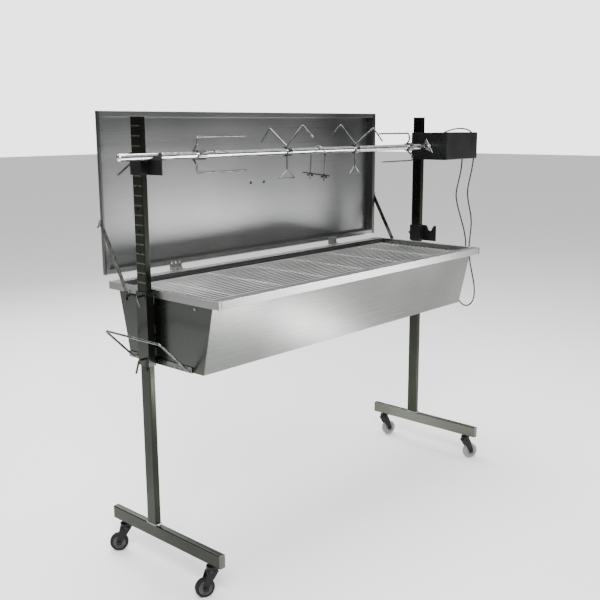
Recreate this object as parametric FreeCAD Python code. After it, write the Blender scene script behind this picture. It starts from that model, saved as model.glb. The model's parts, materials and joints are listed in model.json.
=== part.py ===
"""Rotisserie spit roaster on castors: two T-stands, a charcoal trough with lid, and a driven spit.

Millimetres. +Z is up, +X runs along the spit to the motor, +Y to the back (lid side).
The origin is on the floor, midway between the stands, straight below the spit.
"""
import FreeCAD
import Part
import math
import os

V = FreeCAD.Vector

# ---- stands -----------------------------------------------------------------------
STAND_SPACING = 1650.0      # centre to centre of the two posts, along X
TUBE_NARROW = 25.0          # posts and rails are rectangular tube
TUBE_WIDE = 50.0
TUBE_WALL = 2.0
POST_TOP = 1620.0
POST_Y = 66.0               # posts stand behind the spit
RAIL_LENGTH = 590.0
RAIL_BOTTOM = 117.0
CAP_THICK = 3.0             # plastic end caps
CAP_PLUG = 12.0             # how far a cap reaches into its tube
CAP_GAP = 0.2
HOLE_PITCH = 75.0           # height holes through the posts
HOLE_FIRST = 790.0
HOLE_COUNT = 9
PIN_D = 8.0
PIN_CLEARANCE = 0.1         # radial, pin in hole
PIN_OUT = 20.0              # elbow beyond the sleeve
TICK_PITCH = 33.0           # scored height marks on the outer face of each post
TICK_FIRST = 1062.0
TICK_COUNT = 17
TICK_DEPTH = 0.4
TICK_HEIGHT = 2.0

# ---- castors ----------------------------------------------------------------------
CASTOR_Y = 243.0            # from the rail's middle
WHEEL_D = 70.0
WHEEL_W = 24.0
TRAIL = 27.0                # axle behind the swivel
AXLE_D = 8.0
AXLE_CLEARANCE = 0.1
FORK_GAP = 2.0              # wheel to fork cheek
CHEEK = 2.5
RACE_D = 40.0
STEM_D = 12.0
SWIVEL_GAP = 0.4
TRAIL_ANGLES = {            # degrees from +X, seen from above
    ("left", "front"): 156.0,
    ("left", "back"): 140.0,
    ("right", "front"): 330.0,
    ("right", "back"): 337.0,
}
KINGPIN_D = 10.0

# ---- trough -----------------------------------------------------------------------
TROUGH_TOP = 1037.0
TROUGH_DEPTH = 266.0
TROUGH_HALF_TOP = 256.0     # outside of the walls at the rim
TROUGH_HALF_BOTTOM = 197.0
SHEET = 2.0
LIP_SIDE = 38.0             # lip beyond the front and back walls
LIP_END = 12.0              # lip beyond the end plates
LIP_RETURN = 28.0
SLEEVE_WALL = 3.0
SLEEVE_TOP = 1030.0
SLEEVE_BOTTOM = 766.0
SLIDE_GAP = 1.0             # sleeve to post on the sliding faces
LEDGE_TOP = 1004.0          # what the grate rests on
LEDGE_REACH = 12.0
LEDGE_LENGTH = 40.0

# ---- grate ------------------------------------------------------------------------
GRATE_WIRE_D = 6.0
GRATE_ROD_D = 8.0
GRATE_PITCH = 24.0
GRATE_WIRES = 21
GRATE_ROD_PITCH = 242.0
GRATE_RODS = 6
GRATE_END_GAP = 8.0
GRATE_SIDE_GAP = 1.5
GRATE_EMBED = 1.0           # how deep the welded wires sink into the rods
GRATE_LIFT = 0.3            # grate above its ledges

# ---- lid --------------------------------------------------------------------------
HINGE_BACK = 16.0           # hinge line behind the trough's rear edge
HINGE_UP = 2.0              # hinge line above the trough's rim
LID_DEPTH = 38.0
LID_FLANGE = 18.0
LID_RETURN = 15.0
HINGE_X = 480.0
HINGE_LENGTH = 60.0
HINGE_LEAF = 1.6
HINGE_BARREL_D = 9.0
HINGE_PIN_D = 4.0
HINGE_REACH = 30.0          # leaf beyond the barrel line
HINGE_GAP = 0.3
LID_HANDLE_SPAN = 79.0
LID_HANDLE_X = 16.0
LID_HANDLE_OUT = 38.0
LID_HANDLE_D = 10.0

# ---- lid stays --------------------------------------------------------------------
STAY_TOP = 206.0            # pivot on the lid above the hinge line
STAY_BACK = 9.0             # pivot behind the lid's front face
STAY_LOW_Y = 180.0          # lower fixing on the trough's end
STAY_LOW_Z = 999.0
STAY_W = 18.0
STAY_T = 3.0
STAY_GAP = 0.8              # stay to the lip and to the lid
STUD_D = 6.0
RIVET_DROP = 5.0            # rivet below the stay's stub
RIVET_Y = -165.0

# ---- lift handles -----------------------------------------------------------------
HANDLE_D = 8.0
HANDLE_FRONT_Y = -137.0
HANDLE_BACK_Y = 163.0
HANDLE_OUT = 130.0
HANDLE_RISE = 117.0
STRIP_T = 4.0
STRIP_H = 21.0
STRIP_DROP = 2.0            # strip below the trough's floor
STRIP_FRONT_Y = -144.0
STRIP_BACK_Y = 201.0

# ---- spit and its tools -------------------------------------------------------------
SPIT_Z = 1490.0
SPIT_D = 25.0
SPIT_OVERHANG = 135.0        # spit beyond the left post's middle
SPIT_TIP_R = 9.0
COLLAR_WALL = 5.5
COLLAR_CLEARANCE = 0.1      # radial, on the spit
FORK_ROD_D = 7.0
FORK_HALF = 62.0
FORK_TINE = 245.0
FORK_COLLAR = 36.0
FORK_POINT = 22.0
LEFT_FORK_X = -626.0
RIGHT_FORK_X = 664.0
LEFT_FORK_TURN = 2.7        # degrees about the spit
RIGHT_FORK_TURN = -11.0
LEFT_FORK_SCREW_TURN = -98.0  # 0 points down, -90 to the front
RIGHT_FORK_SCREW_TURN = -93.0
BRACE_ROD_D = 6.0
BRACE_COLLAR = 24.0
BRACE_APEX_Y = 87.0
BRACE_APEX_Z = 94.0
BRACE_TIP_Y = 138.0
BRACE_TIP_Z = 44.0
LEFT_BRACE_X = -165.0
RIGHT_BRACE_X = 257.0
LEFT_BRACE_TURN = -3.8
RIGHT_BRACE_TURN = 4.6
LEFT_BRACE_SCREW_TURN = 1.5
RIGHT_BRACE_SCREW_TURN = 2.0
SCREW_D = 8.0
SCREW_CLEARANCE = 0.1
SCREW_REACH = 68.0          # from the spit's axis to where the handle starts
SCREW_TIP_GAP = 0.3
FORK_SCREW_REACH = 78.0
TRIANGLE_HALF = 36.0
TRIANGLE_H = 33.0
TRIANGLE_ROD_D = 5.0
UBOLT_X = 19.0
UBOLT_HALF = 37.0
UBOLT_D = 6.0
UBOLT_REST_GAP = 0.3
UBOLT_LENGTH = 119.0        # leg ends below the spit's axis
UBOLT_BAR_Z = 93.0
UBOLT_BAR_HALF = 74.0
UBOLT_BAR_W = 18.0
UBOLT_BAR_T = 4.0
UBOLT_TURN = 4.0

# ---- spit brackets ------------------------------------------------------------------
BRACKET_BELOW = 61.0        # bracket bottom below the spit's axis
BRACKET_ABOVE = 13.0
BRACKET_PLATE = 5.0
BRACKET_TIP_Y = -33.0
NOTCH_MOUTH = 22.0          # half width at the top
SPARE_BOTTOM = 1040.0
CLAMP_D = 8.0
CLAMP_BOSS_D = 18.0
CLAMP_BOSS = 8.0
CLAMP_LEVER = 66.0
LEFT_LEVER_ANGLE = 214.0    # degrees in the XZ plane from +X
RIGHT_LEVER_ANGLE = 326.0

# ---- motor --------------------------------------------------------------------------
MOTOR_PLATE_T = 3.0
MOTOR_HALF_H = 62.5
MOTOR_FRONT_Y = -100.0
MOTOR_BACK_Y = 32.0
MOTOR_LENGTH = 268.0
MOTOR_SHEET = 2.0
MOTOR_EDGE_R = 5.0
SOCKET_D = 36.0
SOCKET_LENGTH = 46.0
SOCKET_WINDOW = 1.0         # radial gap of the socket in the plate
GEAR_CASE = 84.0
GEAR_CASE_LENGTH = 70.0
GEAR_CASE_GAP = 0.5
MOTOR_CAN_D = 70.0
MOTOR_CAN_LENGTH = 120.0
MOTOR_SCREW_HALF = 35.0
MOTOR_SCREW_Y = -67.0

# ---- mains lead -----------------------------------------------------------------------
CORD_D = 7.0
GLAND_X = 1030.0
GLAND_Z = 1478.0
GLAND_L = 30.0
GLAND_TOP_D = 16.0
GLAND_TIP_D = 9.0
GLAND_TIP_GAP = 0.8         # gland ends this far before the lead's slanted start
PLUG_L = 44.0
PLUG_W = 34.0
PLUG_H = 18.0
PLUG_PIN_D = 4.8
PLUG_PIN_L = 19.0
PLUG_PIN_HALF = 9.5
PLUG_Y = -14.0
HOLDER_T = 2.0              # loop on the motor cover that the plug is parked in
HOLDER_GAP = 0.5
HOLDER_H = 14.0

# ---- worked out ------------------------------------------------------------------------
POST_X = STAND_SPACING / 2
RAIL_TOP = RAIL_BOTTOM + TUBE_WIDE
POST_INNER = POST_X - TUBE_NARROW / 2
LIP_X = POST_INNER - SLEEVE_WALL
END_X = LIP_X - LIP_END
LIP_Y = TROUGH_HALF_TOP + LIP_SIDE
TROUGH_BOTTOM = TROUGH_TOP - TROUGH_DEPTH
WALL_SLOPE = (TROUGH_HALF_TOP - TROUGH_HALF_BOTTOM) / TROUGH_DEPTH
WALL_ACROSS = SHEET * math.sqrt(1 + WALL_SLOPE ** 2)
HINGE_Y = LIP_Y + HINGE_BACK
HINGE_Z = TROUGH_TOP + HINGE_UP
LID_FACE_Y = HINGE_Y + HINGE_UP
LID_BOTTOM = HINGE_Z + HINGE_BACK
LID_TOP = LID_BOTTOM + 2 * LIP_Y
STAY_TOP_Y = LID_FACE_Y + STAY_BACK
STAY_TOP_Z = HINGE_Z + STAY_TOP
STAY_X = LIP_X + STAY_GAP
SPIT_R = SPIT_D / 2
SPIT_LEFT = -POST_X - SPIT_OVERHANG
COLLAR_BORE = SPIT_R + COLLAR_CLEARANCE
COLLAR_R = COLLAR_BORE + COLLAR_WALL
SLEEVE_HALF_X = TUBE_NARROW / 2 + SLIDE_GAP + SLEEVE_WALL
SLEEVE_HALF_Y = TUBE_WIDE / 2 + SLIDE_GAP + SLEEVE_WALL
MOTOR_X = POST_X - SLEEVE_HALF_X
MOTOR_END = MOTOR_X + MOTOR_PLATE_T + MOTOR_LENGTH
SPIT_RIGHT = MOTOR_X + SOCKET_LENGTH / 2


def box(x0, x1, y0, y1, z0, z1):
    """A box between pairs of coordinates given in any order."""
    low = V(min(x0, x1), min(y0, y1), min(z0, z1))
    return Part.makeBox(abs(x1 - x0), abs(y1 - y0), abs(z1 - z0), low)


def rod(start, end, diameter):
    """A round bar from one point to another."""
    run = end - start
    return Part.makeCylinder(diameter / 2, run.Length, start, run)


def fuse(shapes):
    """One solid out of pieces that overlap or share faces."""
    return shapes[0].multiFuse(shapes[1:]).removeSplitter()


def rounded_wire(points, radii):
    """Straight runs through the points, joined by tangent arcs of the given radii."""
    edges = []
    last = points[0]
    for before, here, after, radius in zip(points, points[1:], points[2:], radii):
        into = (here - before).normalize()
        out = (after - here).normalize()
        half_turn = into.getAngle(out) / 2
        cut = radius * math.tan(half_turn)
        start = here - into * cut
        end = here + out * cut
        inward = (out - into).normalize()
        middle = here + inward * (radius / math.cos(half_turn) - radius)
        edges.append(Part.LineSegment(last, start).toShape())
        edges.append(Part.Arc(start, middle, end).toShape())
        last = end
    edges.append(Part.LineSegment(last, points[-1]).toShape())
    return Part.Wire(edges)


def bent_rod(points, radii, diameter):
    """A round bar swept along rounded_wire."""
    wire = rounded_wire(points, radii)
    ring = Part.Wire([Part.Circle(points[0], points[1] - points[0], diameter / 2).toShape()])
    return wire.makePipeShell([ring], True, False)


def plate(points, thickness_vector):
    """A flat plate: a polygon drawn out by a vector."""
    outline = Part.makePolygon(points + [points[0]])
    return Part.Face(outline).extrude(thickness_vector)


def mirrored(shape):
    """The same piece on the other stand."""
    return shape.mirror(V(0, 0, 0), V(1, 0, 0))


def turned(shape, degrees):
    """The shape turned about the spit."""
    copy = shape.copy()
    copy.rotate(V(0, 0, SPIT_Z), V(1, 0, 0), degrees)
    return copy


def export(name, shape):
    """Write one node after making sure that it is sound."""
    if not shape.isValid():
        raise ValueError("invalid shape in " + name)
    if any(solid.Volume <= 0 for solid in shape.Solids):
        raise ValueError("empty solid in " + name)
    shape.exportStep("parts/" + name + ".step")


# ---- stands -------------------------------------------------------------------------
def make_post(side):
    """A post tube with its height holes and the scored marks on its outer face."""
    x = side * POST_X
    half_x = TUBE_NARROW / 2
    half_y = TUBE_WIDE / 2
    outer = box(x - half_x, x + half_x, POST_Y - half_y, POST_Y + half_y, RAIL_TOP, POST_TOP)
    outer = outer.makeFillet(2 * TUBE_WALL, upright_edges(outer))
    inner = box(x - half_x + TUBE_WALL, x + half_x - TUBE_WALL, POST_Y - half_y + TUBE_WALL,
                POST_Y + half_y - TUBE_WALL, RAIL_TOP, POST_TOP)
    tube = outer.cut(inner)
    cuts = []
    for i in range(HOLE_COUNT):
        z = HOLE_FIRST + i * HOLE_PITCH
        cuts.append(rod(V(x - TUBE_WIDE, POST_Y, z), V(x + TUBE_WIDE, POST_Y, z),
                        PIN_D + 2 * PIN_CLEARANCE))
    face = x + side * half_x
    for i in range(TICK_COUNT):
        z = TICK_FIRST + i * TICK_PITCH
        cuts.append(box(face - side * TICK_DEPTH, face + side, POST_Y - half_y, POST_Y + half_y,
                        z - TICK_HEIGHT / 2, z + TICK_HEIGHT / 2))
    return tube.cut(cuts)


def upright_edges(shape):
    """The edges that run along Z."""
    return [e for e in shape.Edges if abs(e.tangentAt(e.FirstParameter).z) > 0.999]


def edges_along_y(shape):
    """The edges that run along Y."""
    return [e for e in shape.Edges if abs(e.tangentAt(e.FirstParameter).y) > 0.999]


def make_rail(side):
    """The foot rail, with a hole in its underside for each castor stem."""
    x = side * POST_X
    half_x = TUBE_NARROW / 2
    half_y = RAIL_LENGTH / 2
    outer = box(x - half_x, x + half_x, -half_y, half_y, RAIL_BOTTOM, RAIL_TOP)
    outer = outer.makeFillet(2 * TUBE_WALL, edges_along_y(outer))
    inner = box(x - half_x + TUBE_WALL, x + half_x - TUBE_WALL, -half_y, half_y,
                RAIL_BOTTOM + TUBE_WALL, RAIL_TOP - TUBE_WALL)
    tube = outer.cut(inner)
    for y in (-CASTOR_Y, CASTOR_Y):
        tube = tube.cut(rod(V(x, y, RAIL_BOTTOM - 1), V(x, y, RAIL_BOTTOM + TUBE_WALL + 1), STEM_D))
    return tube


def make_rail_caps():
    """A plug with a rounded face in both ends of both rails."""
    caps = []
    plug_x = TUBE_NARROW / 2 - TUBE_WALL - CAP_GAP
    plug_z0 = RAIL_BOTTOM + TUBE_WALL + CAP_GAP
    plug_z1 = RAIL_TOP - TUBE_WALL - CAP_GAP
    for x in (-POST_X, POST_X):
        for way in (-1, 1):
            y = way * RAIL_LENGTH / 2
            face = box(x - TUBE_NARROW / 2, x + TUBE_NARROW / 2, y, y + way * CAP_THICK,
                       RAIL_BOTTOM, RAIL_TOP)
            face = face.makeFillet(2 * TUBE_WALL, edges_along_y(face))
            plug = box(x - plug_x, x + plug_x, y, y - way * CAP_PLUG, plug_z0, plug_z1)
            caps.append(fuse([face, plug]))
    return caps


def make_post_caps():
    """A plug in the top of both posts."""
    caps = []
    plug_x = TUBE_NARROW / 2 - TUBE_WALL - CAP_GAP
    plug_y = TUBE_WIDE / 2 - TUBE_WALL - CAP_GAP
    for x in (-POST_X, POST_X):
        face = box(x - TUBE_NARROW / 2, x + TUBE_NARROW / 2, POST_Y - TUBE_WIDE / 2,
                   POST_Y + TUBE_WIDE / 2, POST_TOP, POST_TOP + CAP_THICK)
        face = face.makeFillet(2 * TUBE_WALL, upright_edges(face))
        plug = box(x - plug_x, x + plug_x, POST_Y - plug_y, POST_Y + plug_y,
                   POST_TOP - CAP_PLUG, POST_TOP)
        caps.append(fuse([face, plug]))
    return caps


# ---- castors --------------------------------------------------------------------------
RACE_TOP = RAIL_BOTTOM - 6.0
RACE_MIDDLE = RACE_TOP - 9.0
FORK_TOP = RACE_MIDDLE - SWIVEL_GAP
FORK_HEAD = 12.0


def make_castor_stems():
    """Threaded stems with nuts inside the rails and the fixed upper races."""
    stems = []
    for x in (-POST_X, POST_X):
        for y in (-CASTOR_Y, CASTOR_Y):
            low = FORK_TOP - FORK_HEAD - SWIVEL_GAP
            stem = rod(V(x, y, RACE_MIDDLE), V(x, y, RAIL_BOTTOM + 16), STEM_D)
            kingpin = rod(V(x, y, low - 3), V(x, y, RACE_MIDDLE), KINGPIN_D)
            rivet = rod(V(x, y, low - 3), V(x, y, low), 1.6 * KINGPIN_D)
            race = rod(V(x, y, RACE_MIDDLE), V(x, y, RACE_TOP), RACE_D)
            nut = rod(V(x, y, RACE_TOP), V(x, y, RAIL_BOTTOM), 1.7 * STEM_D)
            lock = rod(V(x, y, RAIL_BOTTOM + TUBE_WALL), V(x, y, RAIL_BOTTOM + TUBE_WALL + 10),
                       1.5 * STEM_D)
            stems.append(fuse([stem, kingpin, rivet, race, nut, lock]))
    return Part.makeCompound(stems)


def make_castor_fork(x, y, angle):
    """The swivelling fork with its axle, drawn trailing along +X and then turned."""
    axle_z = WHEEL_D / 2
    inside = WHEEL_W / 2 + FORK_GAP
    outside = inside + CHEEK
    race = rod(V(0, 0, FORK_TOP - 9), V(0, 0, FORK_TOP), RACE_D - 2)
    bridge = box(-RACE_D / 2, RACE_D / 2, -outside, outside, FORK_TOP - FORK_HEAD, FORK_TOP - 9)
    pivot = rod(V(0, 0, FORK_TOP - 2 * FORK_HEAD), V(0, 0, FORK_TOP + 1), KINGPIN_D + 2 * AXLE_CLEARANCE)
    pieces = [race, bridge]
    for way in (-1, 1):
        corners = [V(-RACE_D / 2, way * inside, FORK_TOP - 9), V(RACE_D / 2, way * inside, FORK_TOP - 9),
                   V(TRAIL + 11, way * inside, axle_z + 4), V(TRAIL + 8, way * inside, axle_z - 9),
                   V(TRAIL - 8, way * inside, axle_z - 9), V(TRAIL - 12, way * inside, axle_z + 4)]
        pieces.append(plate(corners, V(0, way * CHEEK, 0)))
        pieces.append(rod(V(TRAIL, way * outside, axle_z), V(TRAIL, way * (outside + 5), axle_z),
                          1.7 * AXLE_D))
    pieces.append(rod(V(TRAIL, -outside - 5, axle_z), V(TRAIL, outside + 5, axle_z), AXLE_D))
    fork = fuse(pieces).cut(pivot)
    fork.rotate(V(0, 0, 0), V(0, 0, 1), angle)
    fork.translate(V(x, y, 0))
    return fork


def make_castor_wheel(x, y, angle):
    """A wheel with a rounded tread and hollowed faces, turning on the fork's axle."""
    axle_z = WHEEL_D / 2
    half = WHEEL_W / 2
    wheel = rod(V(TRAIL, -half, axle_z), V(TRAIL, half, axle_z), WHEEL_D)
    wheel = wheel.makeFillet(5.0, [e for e in wheel.Edges if e.Closed])
    hollow = []
    for way in (-1, 1):
        dish = rod(V(TRAIL, way * (half - 3), axle_z), V(TRAIL, way * (half + 1), axle_z), WHEEL_D - 22)
        boss = rod(V(TRAIL, way * (half - 3), axle_z), V(TRAIL, way * (half + 1), axle_z), 22)
        hollow.append(dish.cut(boss))
    hollow.append(rod(V(TRAIL, -half - 1, axle_z), V(TRAIL, half + 1, axle_z),
                      AXLE_D + 2 * AXLE_CLEARANCE))
    wheel = wheel.cut(hollow)
    wheel.rotate(V(0, 0, 0), V(0, 0, 1), angle)
    wheel.translate(V(x, y, 0))
    return wheel


# ---- trough ---------------------------------------------------------------------------
def wall_half(z, inside):
    """Half width of the trough at a height, outside or inside its walls."""
    half = TROUGH_HALF_TOP - (TROUGH_TOP - z) * WALL_SLOPE
    return half - WALL_ACROSS if inside else half


def make_trough():
    """Folded tray with sloping sides, upright ends, a rim with a return, and grate ledges."""
    low = TROUGH_BOTTOM
    outside = [V(-END_X, -wall_half(low, False), low), V(-END_X, wall_half(low, False), low),
               V(-END_X, TROUGH_HALF_TOP, TROUGH_TOP), V(-END_X, -TROUGH_HALF_TOP, TROUGH_TOP)]
    floor = low + SHEET
    top = TROUGH_TOP
    inside_x = END_X - SHEET
    inside = [V(-inside_x, -wall_half(floor, True), floor), V(-inside_x, wall_half(floor, True), floor),
              V(-inside_x, wall_half(top, True), top), V(-inside_x, -wall_half(top, True), top)]
    tray = plate(outside, V(2 * END_X, 0, 0))
    rim = box(-LIP_X, LIP_X, -LIP_Y, LIP_Y, top - LIP_RETURN, top)
    under = box(-LIP_X + SHEET, LIP_X - SHEET, -LIP_Y + SHEET, LIP_Y - SHEET,
                top - LIP_RETURN, top - SHEET)
    trough = fuse([tray, rim.cut(under)])
    trough = trough.cut(plate(inside, V(2 * inside_x, 0, 0)))
    ledges = []
    for x in (-GRATE_ROD_PITCH * 2.5, 0.0, GRATE_ROD_PITCH * 2.5):
        for way in (-1, 1):
            wall = way * (wall_half(LEDGE_TOP - SHEET, True) + SHEET / 2)
            ledges.append(box(x - LEDGE_LENGTH / 2, x + LEDGE_LENGTH / 2, wall,
                              wall - way * (LEDGE_REACH + SHEET / 2), LEDGE_TOP - SHEET, LEDGE_TOP))
    return fuse([trough] + ledges)


def make_trough_sleeve(side):
    """Socket that holds the trough's end on its post, with a spacer to the end plate."""
    x_in = POST_INNER
    x_out = POST_X + TUBE_NARROW / 2 + SLIDE_GAP
    y0 = POST_Y - SLEEVE_HALF_Y
    y1 = POST_Y + SLEEVE_HALF_Y
    outer = box(x_in - SLEEVE_WALL, x_out + SLEEVE_WALL, y0, y1, SLEEVE_BOTTOM, SLEEVE_TOP)
    cavity = box(x_in, x_out, y0 + SLEEVE_WALL, y1 - SLEEVE_WALL, SLEEVE_BOTTOM, SLEEVE_TOP)
    sleeve = outer.cut(cavity)
    for z in PIN_HEIGHTS:
        sleeve = sleeve.cut(rod(V(LIP_X - 1, POST_Y, z), V(x_out + SLEEVE_WALL + 1, POST_Y, z),
                                PIN_D + 2 * PIN_CLEARANCE))
    spacer = box(END_X, LIP_X, y0, y1, TROUGH_BOTTOM + STRIP_H + 6, TROUGH_BOTTOM + STRIP_H + 36)
    sleeve = fuse([sleeve, spacer])
    return sleeve if side > 0 else mirrored(sleeve)


PIN_HEIGHTS = (HOLE_FIRST, HOLE_FIRST + 3 * HOLE_PITCH)


def make_locking_pin(side, z, drop, lean):
    """L-shaped pin through sleeve and post. Its leg goes down by drop and sideways by lean."""
    tip = LIP_X + SLEEVE_WALL / 3
    elbow = POST_X + TUBE_NARROW / 2 + SLIDE_GAP + SLEEVE_WALL + PIN_OUT
    points = [V(tip, POST_Y, z), V(elbow, POST_Y, z), V(elbow, POST_Y + lean, z - drop)]
    pin = bent_rod(points, [7.0], PIN_D)
    return pin if side > 0 else mirrored(pin)


def make_lift_handle(side):
    """Flat strip across the foot of the end plate, and the bent rod handle welded to it."""
    low = TROUGH_BOTTOM - STRIP_DROP
    start = END_X + STRIP_T
    z = low + STRIP_H / 2 - 3
    out = END_X + HANDLE_OUT
    up = z + HANDLE_RISE
    points = [V(start, HANDLE_FRONT_Y, z), V(start + 8, HANDLE_FRONT_Y, z), V(out, HANDLE_FRONT_Y, up),
              V(out, HANDLE_BACK_Y, up), V(start + 8, HANDLE_BACK_Y, z), V(start, HANDLE_BACK_Y, z)]
    strip = box(END_X, start, STRIP_FRONT_Y, STRIP_BACK_Y, low, low + STRIP_H)
    handle = fuse([strip, bent_rod(points, [9.0, 14.0, 14.0, 9.0], HANDLE_D)])
    return handle if side > 0 else mirrored(handle)


def make_trough_studs():
    """Stubs that the lid stays are fixed to, and the round rivets in front of them."""
    pieces = []
    for side in (-1, 1):
        face = side * END_X
        rivet_z = STAY_LOW_Z - RIVET_DROP
        pieces.append(rod(V(face, STAY_LOW_Y, STAY_LOW_Z),
                          V(side * (STAY_X - 0.4), STAY_LOW_Y, STAY_LOW_Z), STUD_D))
        head = rod(V(face, RIVET_Y, rivet_z), V(face + side * 3, RIVET_Y, rivet_z), 9.0)
        pieces.append(head)
    return Part.makeCompound(pieces)


def make_grate():
    """Long wires welded on cross rods."""
    rod_z = LEDGE_TOP + GRATE_LIFT + GRATE_ROD_D / 2
    wire_z = rod_z + GRATE_ROD_D / 2 + GRATE_WIRE_D / 2 - GRATE_EMBED
    half_x = END_X - SHEET - GRATE_END_GAP
    half_y = wall_half(LEDGE_TOP, True) - GRATE_SIDE_GAP
    places = [(i - (GRATE_RODS - 1) / 2) * GRATE_ROD_PITCH for i in range(GRATE_RODS)]
    places += [-half_x + GRATE_ROD_D, half_x - GRATE_ROD_D]
    rods = [rod(V(x, -half_y, rod_z), V(x, half_y, rod_z), GRATE_ROD_D) for x in places]
    wires = []
    for i in range(GRATE_WIRES):
        y = (i - (GRATE_WIRES - 1) / 2) * GRATE_PITCH
        wires.append(rod(V(-half_x, y, wire_z), V(half_x, y, wire_z), GRATE_WIRE_D))
    return rods[0].multiFuse(rods[1:] + wires)


# ---- lid --------------------------------------------------------------------------------
def make_lid():
    """Shallow tray standing open: flange to the front, return folded back round its edge."""
    y = LID_FACE_Y
    x = LIP_X
    z0 = LID_BOTTOM
    z1 = LID_TOP
    f = LID_FLANGE
    t = SHEET
    rim = box(-x, x, y, y + LID_RETURN, z0, z1)
    rim = rim.cut(box(-x + t, x - t, y + t, y + LID_RETURN, z0 + t, z1 - t))
    tray = box(-x + f, x - f, y, y + LID_DEPTH, z0 + f, z1 - f)
    lid = fuse([rim, tray])
    inner = box(-x + f + t, x - f - t, y, y + LID_DEPTH - t, z0 + f + t, z1 - f - t)
    lid = lid.cut(inner)
    bolts = []
    z = (z0 + z1) / 2
    for way in (-1, 1):
        bolt_x = LID_HANDLE_X + way * LID_HANDLE_SPAN / 2
        bolts.append(rod(V(bolt_x, y, z), V(bolt_x, y + LID_DEPTH, z), STUD_D))
        bolts.append(rod(V(way * (x - t), STAY_TOP_Y, STAY_TOP_Z), V(way * x, STAY_TOP_Y, STAY_TOP_Z),
                         STUD_D))
    return lid.cut(bolts)


def make_lid_handle():
    """Rod handle on the outside of the lid, with its two bolts and their heads inside."""
    z = (LID_BOTTOM + LID_TOP) / 2
    back = LID_FACE_Y + LID_DEPTH
    half = LID_HANDLE_SPAN / 2
    x0 = LID_HANDLE_X - half
    x1 = LID_HANDLE_X + half
    points = [V(x0, back, z), V(x0, back + LID_HANDLE_OUT, z), V(x1, back + LID_HANDLE_OUT, z),
              V(x1, back, z)]
    pieces = [bent_rod(points, [12.0, 12.0], LID_HANDLE_D)]
    for x in (x0, x1):
        pieces.append(rod(V(x, back - SHEET, z), V(x, back + 1, z), STUD_D))
        pieces.append(rod(V(x, back - SHEET - 3, z), V(x, back - SHEET, z), 11.0))
    return fuse(pieces)


def hinge_barrel(x0, x1):
    """One knuckle on the hinge line, bored for the pin."""
    a = V(x0, HINGE_Y, HINGE_Z)
    b = V(x1, HINGE_Y, HINGE_Z)
    return rod(a, b, HINGE_BARREL_D), rod(a, b, HINGE_PIN_D + 0.1)


def make_trough_leaves():
    """Hinge leaves that lie on the trough's rear lip and carry the middle knuckle."""
    leaves = []
    third = HINGE_LENGTH / 6
    reach = HINGE_Y - HINGE_REACH
    clear = HINGE_Y - HINGE_BARREL_D / 2 - HINGE_GAP
    for x in (-HINGE_X, HINGE_X):
        flat = box(x - HINGE_LENGTH / 2, x + HINGE_LENGTH / 2, reach, clear,
                   TROUGH_TOP, TROUGH_TOP + HINGE_LEAF)
        tongue = box(x - third, x + third, clear, HINGE_Y, TROUGH_TOP, TROUGH_TOP + HINGE_LEAF)
        knuckle, bore = hinge_barrel(x - third, x + third)
        leaves.append(fuse([flat, tongue, knuckle]).cut(bore))
    return Part.makeCompound(leaves)


def make_lid_leaves():
    """Hinge leaves on the lid's flange with the outer knuckles and the pin."""
    leaves = []
    third = HINGE_LENGTH / 6
    face = LID_FACE_Y
    clear = HINGE_Z + HINGE_BARREL_D / 2 + HINGE_GAP
    for x in (-HINGE_X, HINGE_X):
        pieces = [box(x - HINGE_LENGTH / 2, x + HINGE_LENGTH / 2, face - HINGE_LEAF, face,
                      clear, LID_BOTTOM + LID_FLANGE - 2)]
        for way in (-1, 1):
            near = x + way * (third + HINGE_GAP)
            far = x + way * HINGE_LENGTH / 2
            pieces.append(box(near, far, face - HINGE_LEAF, face, HINGE_Z, clear))
            pieces.append(hinge_barrel(near, far)[0])
        pieces.append(rod(V(x - HINGE_LENGTH / 2, HINGE_Y, HINGE_Z),
                          V(x + HINGE_LENGTH / 2, HINGE_Y, HINGE_Z), HINGE_PIN_D))
        leaves.append(fuse(pieces))
    return Part.makeCompound(leaves)


# ---- lid stays and wing nuts ---------------------------------------------------------------
def wing_nut(x, y, z, way, tilt):
    """A wing nut on an X axis: hub at x, growing along way, its wings tilted in the YZ plane."""
    hub = rod(V(x, y, z), V(x + way * 7, y, z), 11.0)
    pieces = [hub]
    for up in (-1, 1):
        corners = [V(x + way * 1, y - 1.2, z + up * 3), V(x + way * 7, y - 1.2, z + up * 3),
                   V(x + way * 11, y - 1.2, z + up * 17), V(x + way * 3, y - 1.2, z + up * 17)]
        pieces.append(plate(corners, V(0, 2.4, 0)))
    nut = fuse(pieces)
    nut.rotate(V(x, y, z), V(1, 0, 0), tilt)
    return nut


def make_stay(side):
    """Flat bar from the lid's edge down to the trough's end, with its clamping wing screw."""
    x = side * STAY_X
    run = V(0, STAY_LOW_Y - STAY_TOP_Y, STAY_LOW_Z - STAY_TOP_Z)
    length = run.Length
    half = STAY_W / 2
    bar = box(x, x + side * STAY_T, -half, half, -length, 0)
    ends = [rod(V(x, 0, 0), V(x + side * STAY_T, 0, 0), STAY_W),
            rod(V(x, 0, -length), V(x + side * STAY_T, 0, -length), STAY_W)]
    stay = fuse([bar] + ends)
    stay = stay.cut(rod(V(x - side, 0, 0), V(x + side * (STAY_T + 1), 0, 0), STUD_D + 0.2))
    angle = math.degrees(math.atan2(run.y, -run.z))
    stay.rotate(V(x, 0, 0), V(1, 0, 0), angle)
    stay.translate(V(0, STAY_TOP_Y, STAY_TOP_Z))
    screw = wing_nut(x + side * STAY_T, STAY_LOW_Y, STAY_LOW_Z, side, -20)
    return Part.makeCompound([stay]), screw


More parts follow.
